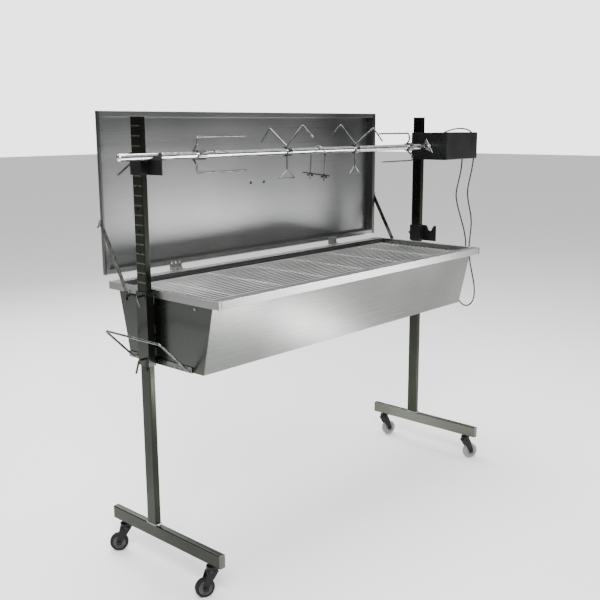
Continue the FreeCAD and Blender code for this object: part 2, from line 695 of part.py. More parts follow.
def make_lid_studs():
    """Studs in the lid's edges with the wing nuts that keep the stays on."""
    pieces = []
    for side in (-1, 1):
        inner = side * (LIP_X - SHEET)
        nut_face = side * (STAY_X + STAY_T + 0.4)
        stud = rod(V(inner - side * 3, STAY_TOP_Y, STAY_TOP_Z), V(nut_face, STAY_TOP_Y, STAY_TOP_Z), STUD_D)
        head = rod(V(inner - side * 4, STAY_TOP_Y, STAY_TOP_Z), V(inner, STAY_TOP_Y, STAY_TOP_Z), 10.0)
        nut = wing_nut(nut_face, STAY_TOP_Y, STAY_TOP_Z, side, 30)
        pieces.append(fuse([stud, head, nut]))
    return Part.makeCompound(pieces)


# ---- spit and its tools -------------------------------------------------------------------------
def make_spit():
    """Solid round spit with a rounded free end."""
    bar = rod(V(SPIT_LEFT, 0, SPIT_Z), V(SPIT_RIGHT, 0, SPIT_Z), SPIT_D)
    tip = [e for e in bar.Edges if e.Closed and e.BoundBox.XMax < SPIT_LEFT + 1]
    return bar.makeFillet(SPIT_TIP_R, tip)


def collar(x, length, screw_turn):
    """Ring on the spit, and the cross hole for its screw."""
    ring = rod(V(x, 0, SPIT_Z), V(x + length, 0, SPIT_Z), 2 * COLLAR_R)
    middle = V(x + length / 2, 0, SPIT_Z)
    hole = rod(middle, middle - V(0, 0, 3 * COLLAR_R), SCREW_D + 2 * SCREW_CLEARANCE)
    return ring, turned(hole, screw_turn)


def make_fork(x, way, turn, screw_turn):
    """Two-tine fork: one rod bent round the back of its collar, pointed at both ends."""
    point = x + way * FORK_TINE
    shank = point - way * FORK_POINT
    r = COLLAR_R + FORK_ROD_D / 2 - 0.5
    z = SPIT_Z
    points = [V(shank, 0, z + FORK_HALF), V(x, 0, z + FORK_HALF), V(x, 0, z + 35), V(x, r, z + 14),
              V(x, r, z - 14), V(x, 0, z - 35), V(x, 0, z - FORK_HALF), V(shank, 0, z - FORK_HALF)]
    pieces = [bent_rod(points, [9.0, 9.0, 9.0, 9.0, 9.0, 9.0], FORK_ROD_D)]
    for up in (-1, 1):
        pieces.append(Part.makeCone(FORK_ROD_D / 2, 0.6, FORK_POINT, V(shank, 0, z + up * FORK_HALF),
                                    V(way, 0, 0)))
    start = x - FORK_ROD_D / 2 if way > 0 else x + FORK_ROD_D / 2 - FORK_COLLAR
    ring, hole = collar(start, FORK_COLLAR, screw_turn)
    fork = fuse(pieces + [ring])
    bore = rod(V(x - 2 * FORK_COLLAR, 0, z), V(x + 2 * FORK_COLLAR, 0, z), 2 * COLLAR_BORE)
    return turned(fork, turn).cut([bore, hole])


def fork_screw_x(x, way):
    """Where the screw of a fork sits along the spit."""
    start = x - FORK_ROD_D / 2 if way > 0 else x + FORK_ROD_D / 2 - FORK_COLLAR
    return start + FORK_COLLAR / 2


def make_hand_screw(x, turn, spin, reach):
    """Clamping screw with a triangular wire handle, pointing down before it is turned."""
    tip = SPIT_Z - SPIT_R - SCREW_TIP_GAP
    neck = SPIT_Z - reach
    low = neck - TRIANGLE_H
    shank = rod(V(x, 0, tip), V(x, 0, neck), SCREW_D)
    corners = [V(x, 0, neck), V(x + TRIANGLE_HALF, 0, low), V(x - TRIANGLE_HALF, 0, low)]
    pieces = [shank]
    for a, b in zip(corners, corners[1:] + corners[:1]):
        pieces.append(rod(a, b, TRIANGLE_ROD_D))
    for corner in corners:
        pieces.append(Part.makeSphere(TRIANGLE_ROD_D / 2, corner))
    screw = fuse(pieces)
    screw.rotate(V(x, 0, SPIT_Z), V(0, 0, 1), spin)
    return turned(screw, turn)


def make_brace(x, turn, screw_turn):
    """M-shaped leg brace: one bent rod welded on top of its collar. x is the rod's plane."""
    z = SPIT_Z
    rod_x = x
    middle = COLLAR_R + BRACE_ROD_D / 2 - 1.0
    points = [V(rod_x, -BRACE_TIP_Y, z + BRACE_TIP_Z), V(rod_x, -BRACE_APEX_Y, z + BRACE_APEX_Z),
              V(rod_x, 0, z + middle), V(rod_x, BRACE_APEX_Y, z + BRACE_APEX_Z),
              V(rod_x, BRACE_TIP_Y, z + BRACE_TIP_Z)]
    bar = bent_rod(points, [6.0, 6.0, 6.0], BRACE_ROD_D)
    ring, hole = collar(x - BRACE_COLLAR / 2, BRACE_COLLAR, screw_turn)
    bore = rod(V(x - BRACE_COLLAR, 0, z), V(x + BRACE_COLLAR, 0, z), 2 * COLLAR_BORE)
    return turned(fuse([bar, ring]), turn).cut([bore, hole])


def make_ubolt():
    """U-bolt hanging over the spit, with both legs down."""
    top = SPIT_Z + SPIT_R + UBOLT_REST_GAP + UBOLT_D / 2
    centre = top - UBOLT_HALF
    foot = SPIT_Z - UBOLT_LENGTH
    x = UBOLT_X
    edges = [Part.LineSegment(V(x, -UBOLT_HALF, foot), V(x, -UBOLT_HALF, centre)).toShape(),
             Part.Arc(V(x, -UBOLT_HALF, centre), V(x, 0, top), V(x, UBOLT_HALF, centre)).toShape(),
             Part.LineSegment(V(x, UBOLT_HALF, centre), V(x, UBOLT_HALF, foot)).toShape()]
    ring = Part.Wire([Part.Circle(V(x, -UBOLT_HALF, foot), V(0, 0, 1), UBOLT_D / 2).toShape()])
    return turned(Part.Wire(edges).makePipeShell([ring], True, False), UBOLT_TURN)


def make_ubolt_bar():
    """Flat bar across the U-bolt's legs."""
    x = UBOLT_X
    z = SPIT_Z - UBOLT_BAR_Z
    half_w = UBOLT_BAR_W / 2
    bar = box(x - half_w, x + half_w, -UBOLT_BAR_HALF, UBOLT_BAR_HALF, z - UBOLT_BAR_T, z)
    for y in (-UBOLT_HALF, UBOLT_HALF):
        bar = bar.cut(rod(V(x, y, z - UBOLT_BAR_T - 1), V(x, y, z + 1), UBOLT_D + 0.2))
    return turned(bar, UBOLT_TURN)


def make_ubolt_nuts():
    """The two wing nuts under the bar."""
    nuts = []
    top = SPIT_Z - UBOLT_BAR_Z - UBOLT_BAR_T
    for y in (-UBOLT_HALF, UBOLT_HALF):
        nut = wing_nut(top, 0, 0, -1, 90)
        nut.rotate(V(0, 0, 0), V(0, 1, 0), -90)
        nut.translate(V(UBOLT_X, y, 0))
        bore = rod(V(UBOLT_X, y, top + 1), V(UBOLT_X, y, top - 20), UBOLT_D + 0.2)
        nuts.append(turned(nut.cut(bore), UBOLT_TURN))
    return Part.makeCompound(nuts)


# ---- brackets on the posts ------------------------------------------------------------------------
def sliding_sleeve(x, z0, z1):
    """Rectangular sleeve round a post with a boss and a threaded hole for its clamp screw."""
    outer = box(x - SLEEVE_HALF_X, x + SLEEVE_HALF_X, POST_Y - SLEEVE_HALF_Y, POST_Y + SLEEVE_HALF_Y, z0, z1)
    hole_x = TUBE_NARROW / 2 + SLIDE_GAP
    hole_y = TUBE_WIDE / 2 + SLIDE_GAP
    cavity = box(x - hole_x, x + hole_x, POST_Y - hole_y, POST_Y + hole_y, z0, z1)
    z = (z0 + z1) / 2
    back = POST_Y + SLEEVE_HALF_Y
    boss = rod(V(x, back, z), V(x, back + CLAMP_BOSS, z), CLAMP_BOSS_D)
    thread = rod(V(x, POST_Y, z), V(x, back + CLAMP_BOSS + 1, z), CLAMP_D + 2 * SCREW_CLEARANCE)
    return fuse([outer.cut(cavity), boss]).cut(thread)


def make_spit_bracket(x, z0):
    """Sleeve with a notched plate, flush with its +X wall, that cradles the spit."""
    axis = z0 + BRACKET_BELOW
    top = axis + BRACKET_ABOVE
    sleeve = sliding_sleeve(x, z0, top)
    near = x + SLEEVE_HALF_X - SLEEVE_WALL
    r = SPIT_R + COLLAR_CLEARANCE
    arm = box(near, near + BRACKET_PLATE, BRACKET_TIP_Y, POST_Y + SLEEVE_HALF_Y, z0, top)
    mouth = [V(near, -r, axis), V(near, r, axis), V(near, NOTCH_MOUTH, top), V(near, -NOTCH_MOUTH, top)]
    cut = [rod(V(near, 0, axis), V(near + BRACKET_PLATE, 0, axis), 2 * r),
           plate(mouth, V(BRACKET_PLATE, 0, 0))]
    return fuse([sleeve, arm.cut(cut)])


def make_clamp_screw(x, z, angle):
    """Clamp screw against the back of the post, with a bent lever."""
    tip = POST_Y + TUBE_WIDE / 2 + SCREW_TIP_GAP
    elbow = POST_Y + SLEEVE_HALF_Y + CLAMP_BOSS + 10
    a = math.radians(angle)
    points = [V(x, tip, z), V(x, elbow, z),
              V(x + CLAMP_LEVER * math.cos(a), elbow, z + CLAMP_LEVER * math.sin(a))]
    return bent_rod(points, [7.0], CLAMP_D)


def make_motor_bracket():
    """Sleeve on the right post whose inner wall runs forward as the motor's mounting plate."""
    z0 = SPIT_Z - MOTOR_HALF_H
    z1 = SPIT_Z + MOTOR_HALF_H
    sleeve = sliding_sleeve(POST_X, z0, z1)
    face = box(MOTOR_X, MOTOR_X + MOTOR_PLATE_T, MOTOR_FRONT_Y, POST_Y + SLEEVE_HALF_Y, z0, z1)
    cuts = [rod(V(MOTOR_X - 1, 0, SPIT_Z), V(MOTOR_X + MOTOR_PLATE_T + 1, 0, SPIT_Z),
                SOCKET_D + 2 * SOCKET_WINDOW)]
    for way in (-1, 1):
        z = SPIT_Z + way * MOTOR_SCREW_HALF
        cuts.append(rod(V(MOTOR_X - 1, MOTOR_SCREW_Y, z), V(MOTOR_X + MOTOR_PLATE_T + 1, MOTOR_SCREW_Y, z),
                        5.0))
    return fuse([sleeve, face.cut(cuts)])


def make_motor_housing():
    """Folded cover, open towards the mounting plate, with the gland's hole and a loop for the plug."""
    x0 = MOTOR_X + MOTOR_PLATE_T
    z0 = SPIT_Z - MOTOR_HALF_H
    z1 = SPIT_Z + MOTOR_HALF_H
    t = MOTOR_SHEET
    outer = box(x0, MOTOR_END, MOTOR_FRONT_Y, MOTOR_BACK_Y, z0, z1)
    lengthwise = [e for e in outer.Edges if abs(e.tangentAt(e.FirstParameter).x) > 0.999]
    outer = outer.makeFillet(MOTOR_EDGE_R, lengthwise)
    inner = box(x0, MOTOR_END - t, MOTOR_FRONT_Y + t, MOTOR_BACK_Y - t, z0 + t, z1 - t)
    gland = rod(V(GLAND_X, MOTOR_BACK_Y - t - 1, GLAND_Z), V(GLAND_X, MOTOR_BACK_Y + 1, GLAND_Z),
                GLAND_TOP_D - 4)
    half = PLUG_W / 2 + HOLDER_GAP
    z = PLUG_Z + PLUG_L / 2 - HOLDER_H / 2
    far = PLUG_BACK + HOLDER_GAP
    loop = box(MOTOR_END, far + HOLDER_T, PLUG_Y - half - HOLDER_T, PLUG_Y + half + HOLDER_T, z, z + HOLDER_H)
    loop = loop.cut(box(MOTOR_END, far, PLUG_Y - half, PLUG_Y + half, z, z + HOLDER_H))
    return fuse([outer.cut([inner, gland]), loop])


def make_gear_motor():
    """Gear case behind the mounting plate and the motor can on it."""
    x0 = MOTOR_X + MOTOR_PLATE_T
    half = GEAR_CASE / 2
    case = box(x0, x0 + GEAR_CASE_LENGTH, -half, half - 14, SPIT_Z - half, SPIT_Z + half)
    seat = rod(V(x0, 0, SPIT_Z), V(x0 + SOCKET_LENGTH, 0, SPIT_Z), SOCKET_D + 2 * SOCKET_WINDOW)
    end = x0 + GEAR_CASE_LENGTH
    can = rod(V(end, -20, SPIT_Z), V(end + MOTOR_CAN_LENGTH, -20, SPIT_Z), MOTOR_CAN_D)
    return fuse([case.cut(seat), can])


def make_drive_socket():
    """Output socket of the gear case, in which the spit's end sits."""
    x0 = MOTOR_X - 12
    x1 = MOTOR_X + MOTOR_PLATE_T + SOCKET_LENGTH - GEAR_CASE_GAP
    socket = rod(V(x0, 0, SPIT_Z), V(x1, 0, SPIT_Z), SOCKET_D)
    return socket.cut(rod(V(x0, 0, SPIT_Z), V(SPIT_RIGHT, 0, SPIT_Z), SPIT_D))


def make_motor_screws():
    """Screws that hold the gear case to the plate."""
    screws = []
    for way in (-1, 1):
        z = SPIT_Z + way * MOTOR_SCREW_HALF
        head = rod(V(MOTOR_X - 3.5, MOTOR_SCREW_Y, z), V(MOTOR_X, MOTOR_SCREW_Y, z), 9.0)
        shank = rod(V(MOTOR_X, MOTOR_SCREW_Y, z), V(MOTOR_X + MOTOR_PLATE_T + 8, MOTOR_SCREW_Y, z), 5.0)
        screws.append(fuse([head, shank]))
    return Part.makeCompound(screws)


# ---- mains lead --------------------------------------------------------------------------------------
PLUG_BACK = MOTOR_END + PLUG_H
PLUG_Z = SPIT_Z - 26.0
CORD_POINTS = [
    V(GLAND_X, MOTOR_BACK_Y + GLAND_L, GLAND_Z), V(1036, 98, 1482), V(1055, 116, 1512),
    V(1077, 100, 1546), V(1088, 56, 1564), V(1092, 2, 1572), V(1094, -48, 1563), V(1094, -77, 1530),
    V(1094, -81, 1474), V(1094, -74, 1418), V(1094, -66, 1362), V(1093, -54, 1308), V(1093, -46, 1258),
    V(1094, -58, 1196), V(1096, -74, 1134), V(1098, -72, 1068), V(1098, -64, 1004), V(1097, -68, 936),
    V(1096, -88, 858), V(1095, -108, 784), V(1093, -104, 716), V(1089, -67, 683), V(1084, -24, 706),
    V(1080, 0, 772), V(1078, -12, 846), V(1077, -38, 920), V(1077, -62, 994), V(1077, -48, 1068),
    V(1078, -22, 1138), V(1080, 2, 1202), V(1082, 12, 1252), V(1085, 0, 1312), V(1087, -12, 1370),
    V(MOTOR_END + PLUG_H / 2, PLUG_Y, 1420), V(MOTOR_END + PLUG_H / 2, PLUG_Y, PLUG_Z),
]


def cord_radii():
    """Each arc's radius: 0.45 of its shorter run over the tangent of half its turn."""
    radii = []
    for before, here, after in zip(CORD_POINTS, CORD_POINTS[1:], CORD_POINTS[2:]):
        into = here - before
        out = after - here
        turn = into.getAngle(out)
        radii.append(0.45 * min(into.Length, out.Length) / math.tan(turn / 2))
    return radii


def make_cord():
    """The lead's tube, from its gland round the hanging loop and back over the motor."""
    radii = cord_radii()
    wire = rounded_wire(CORD_POINTS, radii)
    print("cord radii", [round(r) for r in radii], "length", round(wire.Length))
    runs = [(b - a).Length for a, b in zip(CORD_POINTS, CORD_POINTS[1:])]
    print("cord runs", [round(r) for r in runs])
    tube = bent_rod(CORD_POINTS, radii, CORD_D)
    print("cord volume ratio", tube.Volume / (wire.Length * math.pi * CORD_D ** 2 / 4))
    return tube


def make_gland():
    """Tapered strain relief on the back of the motor cover."""
    y = MOTOR_BACK_Y
    ring = rod(V(GLAND_X, y, GLAND_Z), V(GLAND_X, y + 5, GLAND_Z), GLAND_TOP_D + 2)
    neck = rod(V(GLAND_X, y - MOTOR_SHEET - 2, GLAND_Z), V(GLAND_X, y, GLAND_Z), GLAND_TOP_D - 4)
    taper = Part.makeCone(GLAND_TOP_D / 2, GLAND_TIP_D / 2, GLAND_L - 5 - GLAND_TIP_GAP,
                          V(GLAND_X, y + 5, GLAND_Z), V(0, 1, 0))
    return fuse([ring, neck, taper])


def make_plug():
    """Moulded mains plug parked upside down on the end of the motor cover."""
    y0 = PLUG_Y - PLUG_W / 2
    body = box(MOTOR_END, PLUG_BACK, y0, y0 + PLUG_W, PLUG_Z, PLUG_Z + PLUG_L)
    body = body.makeFillet(3.0, upright_edges(body))
    pieces = [body]
    x = MOTOR_END + PLUG_H / 2
    z = PLUG_Z + PLUG_L
    for way in (-1, 1):
        y = PLUG_Y + way * PLUG_PIN_HALF
        pieces.append(rod(V(x, y, z - 1), V(x, y, z + PLUG_PIN_L), PLUG_PIN_D))
    return fuse(pieces)


def main():
    """Write every node."""
    os.makedirs("parts", exist_ok=True)
    for name, side in (("left", -1), ("right", 1)):
        export("post_" + name, make_post(side))
        export("rail_" + name, make_rail(side))
        export("trough_sleeve_" + name, make_trough_sleeve(side))
        export("lift_handle_" + name, make_lift_handle(side))
        export("pin_upper_" + name, make_locking_pin(side, PIN_HEIGHTS[1], 34.0, -17.0))
        export("pin_lower_" + name, make_locking_pin(side, PIN_HEIGHTS[0], 50.0, 19.0))
        bar, screw = make_stay(side)
        export("stay_" + name, bar)
        export("stay_screw_" + name, screw)
        for end, y in (("front", -CASTOR_Y), ("back", CASTOR_Y)):
            angle = TRAIL_ANGLES[name, end]
            export("castor_fork_" + name + "_" + end, make_castor_fork(side * POST_X, y, angle))
            export("castor_wheel_" + name + "_" + end, make_castor_wheel(side * POST_X, y, angle))
    export("tube_caps", Part.makeCompound(make_rail_caps() + make_post_caps()))
    export("castor_stems", make_castor_stems())
    export("trough", make_trough())
    export("trough_studs", make_trough_studs())
    export("grate", make_grate())
    export("hinge_leaves_trough", make_trough_leaves())
    export("hinge_leaves_lid", make_lid_leaves())
    export("lid", make_lid())
    export("lid_handle", make_lid_handle())
    export("lid_studs", make_lid_studs())
    export("spit", make_spit())
    export("fork_left", make_fork(LEFT_FORK_X, 1, LEFT_FORK_TURN, LEFT_FORK_SCREW_TURN))
    export("fork_right", make_fork(RIGHT_FORK_X, -1, RIGHT_FORK_TURN, RIGHT_FORK_SCREW_TURN))
    export("fork_screw_left", make_hand_screw(
        fork_screw_x(LEFT_FORK_X, 1), LEFT_FORK_SCREW_TURN, 15, FORK_SCREW_REACH))
    export("fork_screw_right", make_hand_screw(
        fork_screw_x(RIGHT_FORK_X, -1), RIGHT_FORK_SCREW_TURN, 52, FORK_SCREW_REACH))
    export("brace_left", make_brace(LEFT_BRACE_X, LEFT_BRACE_TURN, LEFT_BRACE_SCREW_TURN))
    export("brace_right", make_brace(RIGHT_BRACE_X, RIGHT_BRACE_TURN, RIGHT_BRACE_SCREW_TURN))
    export("brace_screw_left", make_hand_screw(
        LEFT_BRACE_X, LEFT_BRACE_SCREW_TURN, -8, SCREW_REACH))
    export("brace_screw_right", make_hand_screw(
        RIGHT_BRACE_X, RIGHT_BRACE_SCREW_TURN, 7, SCREW_REACH))
    export("ubolt", make_ubolt())
    export("ubolt_bar", make_ubolt_bar())
    export("ubolt_nuts", make_ubolt_nuts())
    export("spit_bracket", make_spit_bracket(-POST_X, SPIT_Z - BRACKET_BELOW))
    export("spare_bracket", make_spit_bracket(POST_X, SPARE_BOTTOM))
    bracket_mid = (BRACKET_ABOVE - BRACKET_BELOW) / 2
    export("spit_bracket_screw", make_clamp_screw(-POST_X, SPIT_Z + bracket_mid, LEFT_LEVER_ANGLE))
    export("spare_bracket_screw", make_clamp_screw(
        POST_X, SPARE_BOTTOM + BRACKET_BELOW + bracket_mid, RIGHT_LEVER_ANGLE))
    export("motor_bracket", make_motor_bracket())
    export("motor_bracket_screw", make_clamp_screw(POST_X, SPIT_Z, RIGHT_LEVER_ANGLE))
    export("motor_housing", make_motor_housing())
    export("gear_motor", make_gear_motor())
    export("drive_socket", make_drive_socket())
    export("motor_screws", make_motor_screws())
    export("cord", make_cord())
    export("cord_gland", make_gland())
    export("plug", make_plug())


main()
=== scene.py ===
"""Looks of the rotisserie spit roaster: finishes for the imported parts, the small pieces that
finish it, its mains lead, and the studio it stands in. Metres, in the frame of the parts."""

import json
import math

import bmesh
import bpy
import numpy as np
from mathutils import Matrix, Vector


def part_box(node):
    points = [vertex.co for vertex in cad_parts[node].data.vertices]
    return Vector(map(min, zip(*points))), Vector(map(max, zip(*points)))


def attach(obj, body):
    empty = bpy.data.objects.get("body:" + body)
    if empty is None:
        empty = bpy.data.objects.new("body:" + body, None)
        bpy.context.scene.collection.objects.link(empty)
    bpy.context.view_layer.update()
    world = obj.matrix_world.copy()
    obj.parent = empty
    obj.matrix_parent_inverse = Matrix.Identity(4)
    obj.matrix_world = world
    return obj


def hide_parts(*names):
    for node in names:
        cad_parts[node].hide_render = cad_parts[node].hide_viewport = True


bl_info = {
    "name": "Spit roaster looks",
    "version": (1, 0, 0),
    "blender": (4, 5, 0),
    "location": "View3D > Sidebar > Roaster",
    "description": "Finishes and small pieces of a rotisserie spit roaster",
    "category": "Object",
}

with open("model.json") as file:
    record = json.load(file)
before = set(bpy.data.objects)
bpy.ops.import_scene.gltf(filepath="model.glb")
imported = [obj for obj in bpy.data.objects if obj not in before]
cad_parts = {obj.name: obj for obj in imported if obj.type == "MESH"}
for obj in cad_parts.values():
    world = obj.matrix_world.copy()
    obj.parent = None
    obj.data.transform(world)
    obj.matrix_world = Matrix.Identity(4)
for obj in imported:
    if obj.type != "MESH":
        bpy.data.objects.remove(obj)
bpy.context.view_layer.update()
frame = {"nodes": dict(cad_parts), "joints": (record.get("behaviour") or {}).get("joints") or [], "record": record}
BODIES = frame["record"]["behaviour"]["bodies"]

# ---- sizes of the small pieces, in metres -----------------------------------------------
MERGE = 1e-6                # points nearer than this are one point
WHEEL_R = 0.035
TYRE_HALF = 0.0118          # half the tread's width
TYRE_CROWN = 0.0035         # how much lower the tread is at its edges
TYRE_SHOULDER = (0.0285, 0.0120)    # radius and half width
TYRE_BORE = (0.0245, 0.0105)
# one half of the wheel's core, from the bore to the rim: radius and distance from the middle
CORE_PROFILE = (
    (0.0042, 0.0118), (0.0095, 0.0118), (0.0105, 0.0108), (0.0112, 0.0062), (0.0150, 0.0056),
    (0.0155, 0.0066), (0.0168, 0.0066), (0.0173, 0.0056), (0.0212, 0.0062), (0.0220, 0.0104),
    (0.0232, 0.0114), (0.0244, 0.0104),
)
# rolled collar of a swivel head: radius and height from the head's top
COLLAR_PROFILE = (
    (0.0192, -0.0110), (0.0222, -0.0104), (0.0232, -0.0086), (0.0226, -0.0062), (0.0206, -0.0046),
    (0.0201, -0.0012), (0.0192, -0.0004),
)
HINGE_XS = (-0.480, 0.480)
RIVET_STEPS = (-0.020, 0.0, 0.020)  # rivets from each hinge's middle
RIVET_R = 0.0034
RIVET_H = 0.0018
LEAF_T = 0.0016             # hinge leaf
LID_RIVET_DOWN = 0.0075     # below the leaf's top edge
RIM_RIVET_BACK = 0.010      # behind the leaf's front edge
BOLT_XS = (-0.0235, 0.0555)
BOLT_IN = 0.0050            # from the lid's back to the heads' seats inside it
BOLT_R = 0.0065
BOLT_H = 0.0032
SCREW_XS = (0.020, 0.244)   # cover screws from the cover's inner end
SCREW_Z_IN = 0.014          # cover screws from its lower and upper edges
SCREW_R = 0.0032
SCREW_H = 0.0014
PUDDLE = 0.005              # length of one puddle of weld
FILLET_PUDDLE = 0.006
FILLET_IN = 0.004           # front fillet's ends from the post's edges
FILLET_OUT = 0.003          # in front of the post
STITCH_HALF = 0.014         # half a stitch weld's length
STITCH_LOW = 0.05           # lowest stitch above the sleeve's foot
STITCH_HIGH = 0.03          # highest stitch below its top
HANDLE_YS = (-0.137, 0.163)
HANDLE_R = 0.0045           # weld ring's middle line round the handle's foot
HANDLE_OUT = 0.0046         # weld ring from the strip's inner face
HANDLE_UP = 0.0075          # weld ring above the strip's lower edge
PIN_L = 0.019
PIN_HALF = 0.0095           # half the distance between the plug's pins
PIN_PROFILE = ((0.0, -0.001), (0.0024, -0.001), (0.0024, 0.0165), (0.0019, 0.0185), (0.0, 0.0188))
PLUG_HALF_X = 0.0089
PLUG_HALF_Y = 0.0168
GLAND_BODY = 0.0252         # ribbed length
GLAND_R = 0.0078
GLAND_FALL = 0.0031         # how much thinner its tip is
GLAND_RIB = 0.0006
GLAND_PITCH = 0.0042
GLAND_NECK_R = 0.0055
GLAND_NECK_IN = 0.0005
GLAND_RING_R = 0.0087
GLAND_RING = (0.0302, 0.0262)       # where the ring starts and ends, back from the tip
GLAND_TIP_GAP = 0.0002
FLOOR_HALF = 40.0
FLOOR_DROP = 0.0005         # below the wheels, so that the two faces differ
SCRATCH_DEPTH = 0.0001      # relief of the brushing

# ---- shares of another size, and shape numbers --------------------------------------------
WELD_RIPPLE = 0.22
FOOT_RISE = 0.3
FILLET_SCALE = 1.6
STITCH_SCALE = 0.8
HANDLE_SCALE = 0.6
HANDLE_RIPPLE = 0.2
HANDLE_SWELLS = 6
PLUG_LEAST = 0.42           # narrowest share of the plug's thickness
PLUG_ROUNDING = 4           # power of the plug's rounded section
# share along the plug and share of its width there
PLUG_SWELL = ((0, 0.04, 0.25, 0.6, 0.96, 1), (0.24, 0.42, 0.72, 0.98, 1.0, 0.93))

# ---- studio -----------------------------------------------------------------------------
# name, place, target, width, power, height (None: as wide), turn in degrees
LIGHTS = (
    ("key", (-3.4, -3.0, 4.2), (0.0, 0.0, 0.9), 2.4, 420, None, 0.0),
    ("top", (0.2, 0.6, 4.6), (0.0, 0.0, 0.9), 2.6, 240, None, 0.0),
    ("rim", (0.8, 3.6, 3.6), (0.0, 0.0, 1.2), 2.6, 160, None, 0.0),
    ("low", (2.5, -2.6, 0.40), (-0.3, 0.3, 1.05), 1.6, 42, 0.5, 0.0),
    ("streak", (0.66, -1.45, 0.03), (0.66, -1.45, 1.0), 0.22, 34, 1.5, 38.0),
)
SKY_STOPS = ((0.50, 0.06), (0.60, 0.08), (0.74, 0.80))
SKY_LOW = (0.42, 0.30)
SEEN_SKY = 3.0              # brightness of the sky that the camera sees
CAMERA_PLACE = (-2.6059, -2.2635, 1.5897)
CAMERA_TURN = (47.95, 11.63, -0.28)     # azimuth, elevation and roll, in degrees
CAMERA_LENS = 50.98
CAMERA_SENSOR = 36.0


# ---- shapes ------------------------------------------------------------------------
def unit(v):
    """Each vector divided by its length."""
    v = np.asarray(v, float)
    return v / np.linalg.norm(v, axis=-1, keepdims=True)


def grid_mesh(name, points, wrap_u=False, wrap_v=False, cap_u=False):
    """A mesh from a grid of points, shape (u, v, 3). Quad (i, j) joins its four neighbours; a
    wrapped direction joins its last row to its first, and cap_u closes both end rows."""
    nu, nv = points.shape[:2]
    i = np.arange(nu if wrap_u else nu - 1)[:, None]
    j = np.arange(nv if wrap_v else nv - 1)[None, :]
    i2 = (i + 1) % nu
    j2 = (j + 1) % nv
    quads = np.stack([i * nv + j, i2 * nv + j, i2 * nv + j2, i * nv + j2], -1).reshape(-1, 4)
    faces = quads.tolist()
    if cap_u:
        faces.append(list(range(nv)))
        faces.append(list(range((nu - 1) * nv, nu * nv))[::-1])
    mesh = bpy.data.meshes.new(name)
    mesh.from_pydata(points.reshape(-1, 3).tolist(), [], faces)
    mesh.validate()
    piece = bpy.data.objects.new(name, mesh)
    bpy.context.scene.collection.objects.link(piece)
    return piece


def face_outwards(piece):
    """Recalculates the normals of closed pieces, after merging doubled points."""
    work = bmesh.new()
    work.from_mesh(piece.data)
    bmesh.ops.remove_doubles(work, verts=work.verts, dist=MERGE)
    bmesh.ops.recalc_face_normals(work, faces=work.faces)
    work.to_mesh(piece.data)
    work.free()
    piece.data.shade_smooth()
    piece.data.set_sharp_from_angle(angle=math.radians(40))


def turned_surface(name, profile, origin, axis, segments=48):
    """Surface of revolution: a closed profile of (radius, distance along the axis), carried
    round the axis: point = origin + axis * distance + radius * (side cos t + other sin t)."""
    profile = np.asarray(profile, float)
    axis = unit(axis)
    helper = np.array([0.0, 0.0, 1.0]) if abs(axis[2]) < 0.9 else np.array([1.0, 0.0, 0.0])
    side = unit(np.cross(axis, helper))
    other = np.cross(axis, side)
    t = np.linspace(0, 2 * np.pi, segments, endpoint=False)
    ring = np.cos(t)[:, None] * side + np.sin(t)[:, None] * other
    points = (np.asarray(origin, float) + profile[:, None, 1:2] * axis
              + profile[:, None, 0:1] * ring[None])
    piece = grid_mesh(name, points, wrap_u=True, wrap_v=True)
    face_outwards(piece)
    return piece


def swept(name, path, up, radius, segments=14, closed=False):
    """A round section carried along a path: point = path + radius (side cos t + top sin t), where
    side is at right angles to the path and to up, and radius may differ along the path."""
    path = np.asarray(path, float)
    if closed:
        along = np.roll(path, -1, 0) - np.roll(path, 1, 0)
    else:
        along = np.gradient(path, axis=0)
    along = unit(along)
    side = unit(np.cross(along, np.asarray(up, float)))
    top = np.cross(side, along)
    t = np.linspace(0, 2 * np.pi, segments, endpoint=False)
    r = np.broadcast_to(radius, len(path))[:, None, None]
    ring = np.cos(t)[None, :, None] * side[:, None] + np.sin(t)[None, :, None] * top[:, None]
    points = path[:, None] + r * ring
    piece = grid_mesh(name, points, wrap_u=closed, wrap_v=True, cap_u=not closed)
    face_outwards(piece)
    return piece


def spaced(corners, step, closed=True):
    """Points every step along straight runs between the corners."""
    corners = np.asarray(corners, float)
    if closed:
        corners = np.vstack([corners, corners[:1]])
    run = np.linalg.norm(np.diff(corners, axis=0), axis=1)
    at = np.concatenate([[0], np.cumsum(run)])
    s = np.arange(0, at[-1] - (step / 2 if closed else -1e-9), step)
    return np.stack([np.interp(s, at, corners[:, k]) for k in range(3)], 1)


def weld(name, corners, up, body, size, pitch, closed=True):
    """Weld bead: a round section along straight runs whose radius rises and falls once every
    pitch, r = size (1 + ripple sin(2 pi s / pitch)), like overlapping puddles."""
    path = spaced(corners, pitch / 5, closed)
    s = np.arange(len(path)) * (pitch / 5)
    piece = swept(name, path, up, size * (1 + WELD_RIPPLE * np.sin(2 * np.pi * s / pitch)), 10, closed)
    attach(piece, body)
    return piece


def dome(name, centre, axis, radius, height, body):
    """Domed head: a skirt and a cap, distance = height (0.25 + 0.75 (1 - (r / radius)^2.4))."""
    r = np.linspace(1.0, 0.0, 9)
    cap = np.stack([r * radius, height * (0.25 + 0.75 * (1 - r ** 2.4))], 1)
    profile = np.vstack([[[0.0, 0.0], [radius, 0.0]], cap])
    piece = turned_surface(name, profile, centre, axis, 24)
    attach(piece, body)
    return piece


# ---- finishes ------------------------------------------------------------------------
def linear(hex_colour):
    """sRGB hex text to a linear RGBA tuple."""
    value = np.array([int(hex_colour[i:i + 2], 16) for i in (1, 3, 5)]) / 255
    low = value / 12.92
    high = ((value + 0.055) / 1.055) ** 2.4
    return (*np.where(value <= 0.04045, low, high), 1.0)


